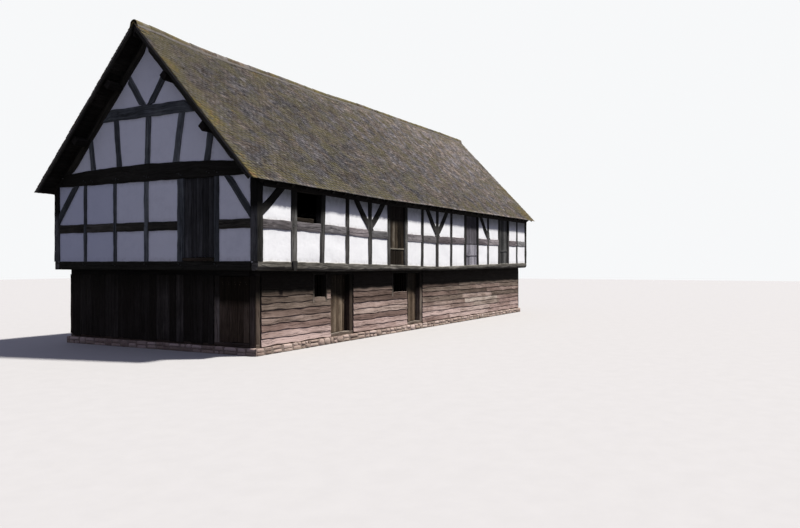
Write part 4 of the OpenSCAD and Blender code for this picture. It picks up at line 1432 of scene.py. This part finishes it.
def slipOf(tail, spot, draw):
    # how far each tile has slid down: by chance, less at the eaves, by a wave of its course, and a few much
    # further
    look = tileRows
    fromEave = slopeLength - tail
    slip = np.clip(draw.normal(0, look["slip"], len(tail)), -look["slipMost"], look["slipMost"])
    wave = look["wave"] * ripple(spot, 2.6, 72) * rise(fromEave, 0, 0.4, 0)
    slip = slip * rise(fromEave, 0, 0.4, 0.2) + wave
    slipped = draw.uniform(size=len(tail)) < look["slipped"]
    return np.where(slipped & (fromEave > 0.2), slip + draw.uniform(*look["slippedBy"], len(tail)), slip)


def layTiles(facing):
    # each tile is a slab of three points across and two along, cambered, a little skew, with its tail lifted
    look = tileRows
    draw = np.random.default_rng(80 + facing)
    first, last = -roofForm["verge"] + look["edge"], roofForm["verge"] - look["edge"]
    left, right, tail = tileCells(first, last)
    count = len(left)
    middle = (left + right) / 2
    spot = np.stack([middle, tail], -1)
    slip = slipOf(tail, spot, draw)
    skew = draw.normal(0, look["skew"], count)
    lift = np.abs(draw.normal(0, look["lift"], count)) * rise(slopeLength - tail, 0, 0.3, 0.2)
    dip = look["dip"] * (0.5 + 0.5 * ripple(spot, 1.9, 73 + facing))
    camber = look["camber"] * draw.uniform(0.1, 1.6, count)
    thick = look["thick"] * draw.uniform(0.8, 1.25, count)
    joint = look["joint"] * draw.uniform(0.5, 1.8, count)
    ends = np.abs(look["ragged"] * draw.uniform(-1, 1, count))
    left = left + np.where(left < first + 0.01, ends, joint)
    right = right - np.where(right > last - 0.01, ends, joint)
    x = np.stack([left, (left + right) / 2, right], -1)
    side = np.array([-1.0, 0.0, 1.0])
    rings = np.zeros((count, 2, 6, 3))
    for station, (upwards, fall) in enumerate(((0.0, 0.0), (look["length"], look["tilt"]))):
        run = np.maximum((tail + slip)[:, None] - upwards + skew[:, None] * side * (1 - station), 0.02)
        top = (dip + fall + look["rest"] - (1 - station) * lift)[:, None] + camber[:, None] * np.abs(side)
        rings[:, station, :3] = onSlope(x, run, top, facing)
        rings[:, station, 3:] = onSlope(x, run, top + thick[:, None], facing)[:, ::-1]
    clouds = look["toneCloud"] * (ripple(spot * (1.0, 1.4), 2.4, 75) + ripple(spot, 0.45, 77))
    tone = look["tone"] + draw.normal(0, look["toneSpread"], count) + clouds + paleAndSheenAt(middle, tail)
    tone = np.clip(tone + np.where(tail > slopeLength - 0.03, look["eaveTone"], 0), 0, 1)
    warm = look["warm"] + draw.normal(0, look["warmSpread"], count)
    warm = warm + look["warmCloud"] * ripple(spot, 1.3, 76)
    tint = np.stack([tone, np.clip(warm, 0, 1), growthAt(middle, tail)], -1)
    shape = tubes(rings, np.array([[0, look["length"]]]), np.linspace(0, 0.33, 7), tint)
    node = "roof_front" if facing < 0 else "roof_back"
    makePiece(node + ".tiles", [shape], "oldTiles", "clay_tile", [node], crease=0)


layTiles(-1)
layTiles(1)

roofDeck = {
    "apart": 0.19,
    "gap": 0.004,
    "thick": 0.020,
    "first": 0.12,  # metres down the slope
    "last": 5.30,
    "verge": 0.04,  # how far the boards stop short of the verge
    "raised": 0.012,  # how far the boards' middle lies above the underside of the tile layer
    "tone": (0.2, 0.8),
    "round": 0.003,
    "cornerPoints": 2,
}


def layDeck():
    # close boards under the tiles, which show at the verges and between the rafters
    look = roofDeck
    draw = np.random.default_rng(90)
    shapes = []
    ends = (roofForm["verge"] - look["verge"]) * np.array([-1, 1])
    for facing in (-1, 1):
        outward = np.array([0, facing * math.sin(roofForm["pitch"]), math.cos(roofForm["pitch"])])
        for run in np.arange(look["first"], look["last"], look["apart"]):
            start, end = onSlope(ends, run, roofForm["layer"] - look["raised"], facing)
            width = look["apart"] - look["gap"]
            shapes.append(hewBetween(start, end, width, look["thick"], outward, look, draw, step=0.6))
    makePiece("roof.deck", shapes, "deepShadeOak", "dark_oak")


layDeck()

ridgeRow = {
    "length": 0.455,
    "radius": 0.116,
    "thick": 0.014,
    "sweep": 106.0,  # degrees that a tile reaches down each side
    "taper": 0.006,
    "drop": 0.094,  # from the roof's apex down to the tiles' centre line
    "verge": 0.020,
    "joint": 0.004,
    "around": 11,
}
bedding = {
    "tone": (0.4, 0.7),
    "wane": 0.010,
    "dent": 0.006,
    "verge": 0.03,  # how far the mortar stops short of the verge
    "ridge": {"run": 0.190, "depth": 0.006, "width": 0.072, "thick": 0.034, "lean": 32},
    "sides": {"runs": (5.34, 0.20), "depth": 0.052, "width": 0.05, "thick": 0.030},
}


def layRidge(draw):
    # half round tiles, each a ring of outer and inner arc carried along the ridge, a little wider at one end
    look = ridgeRow
    around = look["around"]
    whole = 2 * (roofForm["verge"] - look["verge"])
    count = int(round(whole / look["length"]))
    length = whole / count
    start = -whole / 2 + np.arange(count) * length
    angle = np.radians(np.linspace(-look["sweep"], look["sweep"], around))
    rings = np.zeros((count, 3, 2 * around, 3))
    centre = roofForm["apex"] - look["drop"] + draw.uniform(-0.004, 0.002, count)
    sway = draw.uniform(-0.006, 0.006, count)
    for station, share in enumerate((0.0, 0.5, 1.0)):
        radius = look["radius"] + look["taper"] * (0.5 - share) + draw.uniform(-0.002, 0.002, count)
        x = start + share * (length - look["joint"]) + look["joint"] / 2
        for part, inner, sweep in ((slice(0, around), 0.0, angle),
                                   (slice(around, 2 * around), look["thick"], angle[::-1])):
            arc = (radius - inner)[:, None]
            rings[:, station, part, 0] = x[:, None]
            rings[:, station, part, 1] = sway[:, None] + arc * np.sin(sweep)
            rings[:, station, part, 2] = centre[:, None] + arc * np.cos(sweep)
    tone = np.clip(draw.normal(0.46, 0.12, count), 0, 1)
    warm = draw.uniform(0, 0.9, count)
    tint = np.stack([tone, warm, draw.uniform(0.1, 0.9, count)], -1)
    shape = tubes(rings, np.linspace(0, length, 3), np.linspace(0, 0.8, 2 * around + 1), tint)
    makePiece("ridge_tiles.halfRound", [shape], "ridgeClay", "clay_tile", ["ridge_tiles"], crease=30)


def bedRidge(draw):
    # a fillet under the ridge tiles, which leans from the slope's normal so that it runs out on the first
    # course, and one along each verge
    look = bedding
    ridge, sides = look["ridge"], look["sides"]
    place = roofForm["verge"] - look["verge"]
    sine, cosine = math.sin(roofForm["pitch"]), math.cos(roofForm["pitch"])
    lean = math.radians(ridge["lean"])
    shapes = []
    for facing in (-1, 1):
        start, end = onSlope(place * np.array([-1, 1]), ridge["run"], ridge["depth"], facing)
        outward = math.cos(lean) * np.array([0, facing * sine, cosine])
        outward = outward + math.sin(lean) * np.array([0, facing * cosine, -sine])
        shapes.append(hewBetween(start, end, ridge["width"], ridge["thick"], outward, look, draw, step=0.07))
        for side in (-1, 1):
            start, end = (onSlope(side * place, run, sides["depth"], facing) for run in sides["runs"])
            width, thick = sides["width"], sides["thick"]
            shapes.append(hewBetween(start, end, width, thick, (side, 0, 0), look, draw, step=0.09))
    makePiece("roof.mortar", shapes, "roofMortar", "clay_tile")


ridgeDraw = np.random.default_rng(91)
layRidge(ridgeDraw)
bedRidge(ridgeDraw)
print("roof tiled")

# Boards of the lower storey

waneyBoards = {
    "gauge": 0.1628,  # from row to row
    "width": 0.224,
    "thick": 0.022,
    "tilt": 6.5,  # degrees that each board leans out over the one below
    "low": 0.2166,
    "high": 1.835,
    "lift": 0.016,
    "stray": 0.010,  # how far a row may be off its mark
    "slant": 0.012,  # and how far a board may be out of level at an end
    "off": 0.013,  # how far the boards' middle stands before the frame
    "lengths": (2.0, 4.2),
    "shortest": 0.7,
    "gap": 0.002,
    "wane": 0.030,
    "waneReach": 1.7,
    "dent": 0.003,
    "round": 0.004,
    "cornerPoints": 2,
    "tone": (0.10, 0.75),
    "paleFoot": 0.45,  # how much paler the foot of the wall is
    "paleHeight": (0.95, 0.7),  # it is as dark as the rest here, and palest so much lower
    "hueHeights": (0.35, 1.2),
    "hues": (-0.45, 0.35),
    # runs of boards: from, to, lowest, highest
    "frontRuns": [(-8.79, -5.935, 0.2, 1.18), (-8.79, -6.745, 1.18, 1.9), (-6.11, -5.935, 1.18, 1.9),
                  (-4.80, -1.61, 0.2, 1.18), (-4.80, -2.60, 1.18, 1.9), (-0.53, 8.80, 0.2, 1.9)],
    "backRuns": [(-8.83, 8.83, 0.2, 1.9)],
}
uprightBoards = {
    "width": 0.20,
    "thick": 0.020,
    "lap": 0.010,
    "off": 0.010,
    "low": 0.205,
    "high": 1.840,
    "ragged": 0.045,  # how uneven the boards' feet are
    "wane": 0.007,
    "dent": 0.003,
    "round": 0.004,
    "cornerPoints": 2,
    "tone": (0.0, 0.6),
}


def boardEnds(first, last, lengths, shortest, draw):
    # cuts a row into boards of random length, of which the last isn't too short
    start = first
    while start < last - 0.05:
        end = min(start + draw.uniform(*lengths), last)
        if last - end < shortest:
            end = last
        yield start, end
        start = end


def boardWall(facing, runs, seed):
    # rows of waney boards, each leaning out over the one below
    look = waneyBoards
    draw = np.random.default_rng(seed)
    tilt = math.radians(look["tilt"])
    outward = (0, facing * math.cos(tilt), math.sin(tilt))
    y = facing * (house["lowHalfWidth"] + look["off"])
    paleTop, paleLength = look["paleHeight"]
    shapes = []
    for row in range(int(round((look["high"] - look["low"]) / look["gauge"]))):
        z = look["low"] + (row + 0.5) * look["gauge"] + look["lift"]
        z += draw.uniform(-look["stray"], look["stray"])
        pale = look["paleFoot"] * np.clip((paleTop - z) / paleLength, -0.3, 1)
        tone = tuple(t + pale for t in look["tone"])
        own = {**look, "tone": tone, "hue": np.interp(z, look["hueHeights"], look["hues"])}
        for first, last, lowest, highest in runs:
            if not lowest <= z <= highest:
                continue
            for start, end in boardEnds(first, last, look["lengths"], look["shortest"], draw):
                slant = draw.uniform(-look["slant"], look["slant"])
                own["wane"] = look["wane"] * draw.uniform(0.4, 1.1)
                width = look["width"] + draw.uniform(-0.008, 0.006)
                start, end = (start + look["gap"] / 2, y, z - slant), (end - look["gap"] / 2, y, z + slant)
                shapes.append(hewBetween(start, end, width, look["thick"], outward, own, draw, step=0.09))
    return shapes


def uprightWall(facing, first, last, seed):
    # upright boards side by side, each lapped a little on the next
    look = uprightBoards
    draw = np.random.default_rng(seed)
    shapes = []
    y = first
    while y < last - 0.06:
        width = look["width"] * draw.uniform(0.8, 1.3)
        end = last if last - y - width < 0.10 else y + width
        x = facing * (house["lowHalfLength"] + look["off"] + draw.uniform(0, 0.004))
        middle, low = (y + end) / 2, look["low"] + draw.uniform(0, look["ragged"])
        foot, head = (x, middle, low), (x, middle, look["high"])
        width = end - y + look["lap"]
        shapes.append(hewBetween(foot, head, width, look["thick"], (facing, 0, 0), look, draw))
        y = end
    return shapes


def boardUp():
    longBoards = boardWall(-1, waneyBoards["frontRuns"], 111) + boardWall(1, waneyBoards["backRuns"], 112)
    makePiece("weatherboards.waney", longBoards, "wallBoards", "boards", ["weatherboards"], settled=False)
    # the west gable's boards begin beside its door
    shadeDarkGableBoards = uprightWall(-1, -1.90, 3.01, 113) + uprightWall(1, -3.01, 3.01, 114)
    makePiece("gable_boards.upright", shadeDarkGableBoards, "shadeDarkGableBoards", "boards", ["gable_boards"], settled=False)


boardUp()

# Window bars and jamb strips of the front wall

windowWork = {
    "bar": 0.032,
    "barsIn": 0.070,  # how far the bars stand behind the frame's face
    "bars": [(-6.68, -6.16, 4), (-2.49, -1.61, 6)],  # from, to, how many
    "low": 1.195,
    "high": 1.825,
    "strips": [(-6.712, 0.060), (-6.128, 0.050), (-2.555, 0.070)],  # place and width
    "stripLow": 1.12,
    "stripHigh": 1.83,
    "stripThick": 0.030,
    "stripOut": 0.013,
    "stripTone": (0.7, 1.0),
    "tone": (0.2, 0.6),
    "round": 0.003,
    "wane": 0.003,
    "dent": 0.001,
}


def fitWindows():
    # square bars that stand corner forwards, and the pale strips at their jambs
    look = windowWork
    draw = np.random.default_rng(115)
    y, bar = look["barsIn"] - house["lowHalfWidth"], look["bar"]
    bars = []
    for first, last, count in look["bars"]:
        for x in first + (np.arange(count) + 0.5) * (last - first) / count:
            foot, head = (x, y, look["low"]), (x, y, look["high"])
            bars.append(hewBetween(foot, head, bar, bar, (0.7, -0.7, 0), look, draw, step=0.08))
    makePiece("window.bars", bars, "doorBoards", "door_planks", settled=False)
    y = -look["stripOut"] - house["lowHalfWidth"]
    own = {**look, "tone": look["stripTone"]}
    strips = []
    for x, width in look["strips"]:
        foot, head = (x, y, look["stripLow"]), (x, y, look["stripHigh"])
        strips.append(hewBetween(foot, head, width, look["stripThick"], (0, -1, 0), own, draw, step=0.1))
    makePiece("window.strips", strips, "lowerOak", "boards", settled=False)


fitWindows()

# Plank doors of the ground floor, which turn on their pins

plankDoor = {
    # degrees that each leaf stands from the x axis
    "angles": {"door_front_west": 8.5, "door_front_middle": 10.0, "door_gable": -90.0},
    "planks": 5,
    "gap": 0.004,
    "free": 0.001,  # kept free at the leaf's two sides
    "stray": 0.018,  # how far a joint between planks may be off its mark
    "thick": 0.026,
    "faceOut": -0.042,  # the planks' two faces, from the pins' centre line
    "faceIn": -0.014,
    "wane": 0.0025,
    "round": 0.003,
    "crack": 0.003,
    "tone": (0.3, 0.95),
    "ledges": (0.07, 0.46, 0.86),  # shares of the leaf's height
    "ledgeHigh": 0.11,
    "ledgeThick": 0.025,
    "ledgeShort": 0.042,
}
doorIrons = {
    "straps": (0.2, 0.78),
    "strapHigh": 0.040,
    "strapThick": 0.006,
    "strapStart": 0.012,
    "strapEnd": 0.70,  # share of the leaf's width
    "strap": {"wane": 0.0, "dent": 0.0, "round": 0.0015, "cornerPoints": 2},
    "pin": 0.0073,  # radius of the eye's bore and of the eye
    "eye": 0.0147,
    "nail": (0.007, 0.003),  # radius and height of a head
    "nailRows": (-0.025, 0.025),
    "latch": (0.085, 0.52),  # from the free edge, share of the height
    "latchStud": (0.014, 0.008),
    "latchHang": 0.030,
    "latchRing": 0.028,
    "latchWire": 0.0035,
    "latchOut": 0.0075,
}


def doorPlanks(cuts, high, draw):
    # upright planks and the ledges across their inner face
    look = plankDoor
    first, last = cuts[0], cuts[-1]
    shapes = []
    for left, right in zip(cuts[:-1], cuts[1:]):
        left = left + (look["gap"] / 2 if left > first else look["free"])
        right = right - (look["gap"] / 2 if right < last else look["free"])
        x, y = (left + right) / 2, (look["faceOut"] + look["faceIn"]) / 2 + draw.uniform(0.0, 0.0015)
        foot, head = (x, y, 0.002 + draw.uniform(0, 0.012)), (x, y, high - 0.002 - draw.uniform(0, 0.006))
        shapes.append(hewBetween(foot, head, right - left, look["thick"], (0, -1, 0), look, draw, step=0.06))
    width, thick = look["ledgeHigh"], look["ledgeThick"]
    y, sound = look["faceIn"] + thick / 2, {**look, "crack": 0.0}
    for share in look["ledges"]:
        z = share * high + width / 2
        start, end = (first + look["ledgeShort"], y, z), (last - look["ledgeShort"], y, z)
        shapes.append(hewBetween(start, end, width, thick - 0.001, (0, 1, 0), sound, draw, step=0.08))
    return shapes


def hoopOf(profile, centre, upright, along, girth):
    # a profile of radius and height carried round an upright axis, or else round one square to the door
    around = np.linspace(0, turn, 25)[:-1, None]
    radius, height = np.asarray(profile).T
    ahead, aside, height = radius * np.cos(around), radius * np.sin(around), height + 0 * around
    ring = np.stack((ahead, aside, height) if upright else (aside, height, ahead), -1) + centre
    girth = np.linspace(0, girth, len(profile) + 1)
    return tubes(ring[None], along * around.T, girth, (0.5, 0.5, 0), hoop=True)


def doorIron(cuts, high, draw):
    # straps with an eye round each pin, nails where planks and ledges cross, and a ring latch near the free
    # edge
    look, door = doorIrons, plankDoor
    first, last = cuts[0], cuts[-1]
    low, top, pin, eye = 0.001, look["strapHigh"] - 0.001, look["pin"], look["eye"]
    y, outside = door["faceIn"] + look["strapThick"] / 2, door["faceOut"] + 0.001
    shapes = []
    for share in look["straps"]:
        z = share * high
        middle = z + look["strapHigh"] / 2
        start, end = (look["strapStart"], y, middle), (look["strapEnd"] * (last - first), y, middle)
        width, thick = look["strapHigh"] - 0.002, look["strapThick"]
        shapes.append(hewBetween(start, end, width, thick, (0, 1, 0), look["strap"], draw, step=0.1))
        profile = [(pin, low), (eye, low), (eye, top), (pin, top)]
        shapes.append(hoopOf(profile, (0, 0, z), True, 0.015, 0.1))
    nails = []
    for share in door["ledges"]:
        z = share * high + door["ledgeHigh"] / 2
        for x in (cuts[:-1] + cuts[1:]) / 2:
            for up in look["nailRows"]:
                nails.append((x + draw.uniform(-0.03, 0.03), outside, z + up + draw.uniform(-0.005, 0.005)))
    shapes += [studHead(place, (0, -1, 0), *look["nail"], draw) for place in nails]
    x, z = last - look["latch"][0], look["latch"][1] * high
    shapes.append(studHead((x, outside, z + look["latchHang"]), (0, -1, 0), *look["latchStud"], draw))
    angle = np.linspace(0, turn, 9)[:-1]
    wire = look["latchWire"]
    profile = np.stack([look["latchRing"] + wire * np.cos(angle), wire * np.sin(angle)], -1)
    shapes.append(hoopOf(profile, (x, door["faceOut"] - look["latchOut"], z), False, 0.03, 0.03))
    return shapes


def hangDoor(nodeName, joint, angle, seed):
    # the leaf is made along x, with its pins' centre line on the z axis and its outer face towards -y, then
    # turned to where the frame's leaf stands at rest
    look = plankDoor
    draw = np.random.default_rng(seed)
    hinge = np.array(joint["pos_m"])
    cosine, sine = math.cos(math.radians(angle)), math.sin(math.radians(angle))
    toLeaf = np.array([[cosine, sine, 0], [-sine, cosine, 0], [0, 0, 1]])
    points = np.concatenate([s["points"] for s in solidsOf(nodeName)])
    leaf = (points - hinge) @ toLeaf.T
    high = leaf[:, 2].max()
    cuts = np.linspace(leaf[:, 0].min(), leaf[:, 0].max(), look["planks"] + 1)
    cuts[1:-1] += draw.uniform(-look["stray"], look["stray"], look["planks"] - 1)
    planks, iron = doorPlanks(cuts, high, draw), doorIron(cuts, high, draw)
    for shape in planks + iron:
        shape["points"] = shape["points"] @ toLeaf + hinge
    rides = {"body": nodeName, "settled": False}
    makePiece(nodeName + ".planks", planks, "doorBoards", "door_planks", [nodeName], **rides)
    makePiece(nodeName + ".iron", iron, "forgedIron", "iron", **rides)


joints = {joint["child"]: joint for joint in frame["joints"]}
for number, (nodeName, angle) in enumerate(plankDoor["angles"].items()):
    hangDoor(nodeName, joints[nodeName], angle, 130 + number)
refinish("door_pintles", "forgedIron")

# Loft doors

loftPlanks = {
    "width": 0.17,
    "thick": 0.028,
    "depth": 0.020,  # how far the planks' middle lies behind the frame's leaf
    "gap": 0.005,
    "middleGap": 0.012,  # between the two halves of a door
    "ledgeThick": 0.020,
    "ledgeShort": 0.012,
    "toneSpread": 0.05,
    "wane": 0.004,
    "dent": 0.002,
    "round": 0.003,
    "crack": 0.004,
}
loftLeaves = [
    # from west to east: the gable's door, then the three of the front wall. A leaf reaches from and to a
    # share of the door's height and has six tones for its planks; a ledge has its height's share, its width
    # and its tone
    {
        "finish": "slateBoards",
        "leaves": [(0.0, 1.0, (0.45, 0.25, 0.55, 0.35, 0.60, 0.40))],
        "ledges": [],
    },
    {
        "finish": "tanBoards",
        "leaves": [(0.0, 0.27, (0.10, 0.25, 0.15, 0.20, 0.50, 0.60)),
                   (0.285, 1.0, (0.35, 0.60, 0.50, 0.10, 0.35, 0.45))],
        "ledges": [(0.285, 0.045, 0.95), (0.80, 0.060, 0.3)],
    },
    {
        "finish": "lilacBoards",
        "leaves": [(0.0, 0.44, (0.55, 0.35, 0.70, 0.75, 0.60, 0.50)),
                   (0.45, 1.0, (0.20, 0.15, 0.30, 0.25, 0.15, 0.20))],
        "ledges": [(0.20, 0.045, 0.25)],
    },
    {
        "finish": "slateBoards",
        "leaves": [(0.0, 1.0, (0.60, 0.35, 0.50, 0.80, 0.65, 0.70))],
        "ledges": [(0.30, 0.06, 0.55)],
    },
]


def toned(look, tone):
    return {**look, "tone": (tone - look["toneSpread"], tone + look["toneSpread"])}


def loftDoor(low, high, axis, door, draw):
    # planks side by side along x or y, with ledges across their face
    look = loftPlanks
    outward = np.array([0, -1.0, 0]) if axis == 0 else np.array([-1.0, 0, 0])
    face = low[1 - axis]
    tall = high[2] - low[2]
    count = max(4, int(round((high[axis] - low[axis]) / look["width"])))
    cuts = np.linspace(low[axis], high[axis], count + 1)
    cuts[1:-1] += draw.uniform(-0.02, 0.02, count - 1)

    def spot(s, depth, z):
        return (s, face + depth, z) if axis == 0 else (face + depth, s, z)

    shapes = []
    for bottom, top, tones in door["leaves"]:
        for k, (left, right) in enumerate(zip(cuts[:-1], cuts[1:])):
            gap = look["middleGap"] if k == count // 2 - 1 else look["gap"]
            depth = look["depth"] + draw.uniform(-0.003, 0.003)
            middle = (left + right - gap) / 2
            foot = spot(middle, depth, low[2] + bottom * tall + draw.uniform(0.0, 0.02))
            head = spot(middle, depth, low[2] + top * tall)
            own, width = toned(look, tones[k % len(tones)]), right - left - gap
            shapes.append(hewBetween(foot, head, width, look["thick"], outward, own, draw, step=0.07))
    for share, width, tone in door["ledges"]:
        z = low[2] + share * tall
        start = spot(cuts[0] + look["ledgeShort"], 0.0, z)
        end = spot(cuts[-1] - look["ledgeShort"], 0.0, z + 0.01)
        own = toned(look, tone)
        shapes.append(hewBetween(start, end, width, look["ledgeThick"], outward, own, draw, step=0.08))
    return shapes


def hangLoftDoors():
    draw = np.random.default_rng(140)
    boxes = sorted((boxOf(s) for s in solidsOf("loft_doors")), key=lambda b: b[0][0])
    for number, ((low, high), door) in enumerate(zip(boxes, loftLeaves)):
        shapes = loftDoor(low, high, 1 if number == 0 else 0, door, draw)
        makePiece("loft_doors.leaf%d" % (number + 1), shapes, door["finish"], "door_planks", ["loft_doors"])


hangLoftDoors()
print("boards and doors hung")

# Floorboards of the loft

loftFloor = {
    "width": 0.21,
    "thick": 0.036,
    "lengths": (2.5, 5.0),
    "shortest": 1.0,
    "gap": 0.003,  # between two rows
    "endGap": 0.001,
    "wane": 0.002,
    "dent": 0.001,
    "round": 0.003,
    "cornerPoints": 2,
    "tone": (0.0, 0.5),
}


def layFloorboards():
    look = loftFloor
    draw = np.random.default_rng(150)
    low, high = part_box("floorboards")
    count = int(round((high.y - low.y) / look["width"]))
    apart = (high.y - low.y) / count
    z = (low.z + high.z) / 2
    shapes = []
    for y in low.y + (np.arange(count) + 0.5) * apart:
        for start, end in boardEnds(low.x, high.x, look["lengths"], look["shortest"], draw):
            start, end = (start + look["endGap"], y, z), (end - look["endGap"], y, z)
            width = apart - look["gap"]
            shapes.append(hewBetween(start, end, width, look["thick"], (0, 0, 1), look, draw, step=0.6))
    makePiece("floorboards.planks", shapes, "deepShadeOak", "grey_oak", ["floorboards"])


layFloorboards()

# Rubble plinth: rounded stones bedded in the mortar of the frame's plinth

rubble = {
    "proud": 0.06,  # how far the plinth stands out before the timbers
    "long": (0.15, 0.42),  # length of a cell of the wall
    "split": (0.065, 0.115),  # height of its lower course
    "halves": (0.35, 0.65),  # share of its length where two stones meet
    # a cell has one tall stone, two courses, or three stones, by where a random share lies between these
    "kinds": (0.30, 0.60, 0.80),
    "tallest": 0.30,  # longest cell that one tall stone may fill
    "least": 0.10,
    "high": 0.178,
    "deep": 0.12,
    "stand": (0.008, 0.024),
    "joint": 0.005,
    "bed": 0.002,
    "around": 12,
    "levels": (-1.0, -0.78, 0.0, 0.78, 1.0),  # shares of a stone's half height
    "swellLong": (0.70, 0.95, 1.0, 0.94, 0.68),  # its half length and half depth at each level
    "swellDeep": (0.74, 0.95, 1.0, 0.95, 0.74),
    "square": 0.5,  # power that pulls out the corners
    "rough": (0.07, 0.03),
}


def stoneCell(size, draw):
    # the stones of one cell of the wall: from and to a share of its length, bottom, top
    look = rubble
    top = look["high"]
    kind, cut, share = draw.uniform(), draw.uniform(*look["split"]), draw.uniform(*look["halves"])
    oneTall, twoCourses, oneBelow = look["kinds"]
    if kind < oneTall and size < look["tallest"] or size < look["least"]:
        return [(0, 1, 0.0, top)]
    if kind < twoCourses:
        return [(0, 1, 0.0, cut), (0, 1, cut, top)]
    if kind < oneBelow:
        return [(0, 1, 0.0, cut), (0, share, cut, top), (share, 1, cut, top)]
    return [(0, share, 0.0, cut), (share, 1, 0.0, cut), (0, 1, cut, top)]


def placeStones(draw):
    # goes along the four walls cell by cell; a stone has a centre, three half sizes and the angle of its wall
    look = rubble
    halfX, halfY = house["lowHalfLength"] + look["proud"], house["lowHalfWidth"] + look["proud"]
    walls = [((-halfX, -halfY), (halfX, -halfY), -turn / 4), ((-halfX, halfY), (halfX, halfY), turn / 4),
             ((-halfX, -halfY), (-halfX, halfY), turn / 2), ((halfX, -halfY), (halfX, halfY), 0.0)]
    stones = []
    for start, end, facing in walls:
        start, way = np.array(start), np.subtract(end, start)
        length = math.hypot(*way)
        along, outward = way / length, np.array([math.cos(facing), math.sin(facing)])
        place = 0.0
        while place < length - 0.02:
            size = min(draw.uniform(*look["long"]), length - place)
            for left, right, low, high in stoneCell(size, draw):
                stand = draw.uniform(*look["stand"]) - look["deep"] / 2
                x, y = start + along * (place + size * (left + right) / 2) + outward * stand
                top = high + draw.uniform(-0.010, 0.0)
                halfLong, halfHigh = size * (right - left) / 2 - look["joint"], (top - low) / 2 - look["bed"]
                turned = math.atan2(along[1], along[0])
                stones.append((x, y, (low + top) / 2, halfLong, look["deep"] / 2, halfHigh, turned))
            place += size
    stones = np.array(stones)
    return stones[:, :3], stones[:, 3:6, None, None], stones[:, 6, None, None]


def layRubble():
    # each stone: rings that swell and shrink from bed to top by a fixed profile, with corners pulled out by
    # a power of cosine and sine, and roughened by chance
    look = rubble
    draw = np.random.default_rng(160)
    centres, sizes, turned = placeStones(draw)
    count = len(centres)
    angle = np.linspace(0, turn, look["around"] + 1)[:-1]
    waves = np.cos(angle), np.sin(angle)
    squareX, squareY = (np.sign(wave) * np.abs(wave) ** look["square"] for wave in waves)
    profiles = look["levels"], look["swellLong"], look["swellDeep"]
    levels, swellLong, swellDeep = (np.array(profile)[:, None] for profile in profiles)
    roughAround, roughUp = look["rough"]
    rough = 1 + roughAround * draw.normal(size=(count, 1, look["around"])).clip(-1.5, 1.5)
    rough = rough + roughUp * draw.normal(size=(count, 5, 1)).clip(-1.5, 1.5)
    x = squareX * swellLong * rough * sizes[:, 0]
    y = squareY * swellDeep * (1 + 0.5 * (np.minimum(rough, 1.1) - 1)) * sizes[:, 1]
    z = (levels + 0 * angle) * sizes[:, 2]
    cosine, sine = np.cos(turned), np.sin(turned)
    rings = np.stack([x * cosine - y * sine, x * sine + y * cosine, z], -1) + centres[:, None, None]
    rings[..., 2] = np.clip(rings[..., 2], 0.001, None)
    tint = np.stack([draw.uniform(0, 1, count), draw.uniform(0, 1, count), np.zeros(count)], -1)
    shape = tubes(rings, np.linspace(0, 0.2, 5), np.linspace(0, 0.6, look["around"] + 1), tint)
    makePiece("plinth.stones", [shape], "rubbleStone", "rubble", settled=False, crease=50)


layRubble()
for nodeName in ("plinth_long", "plinth_gable"):
    refinish(nodeName, "limeMortar")
print("plinth laid")
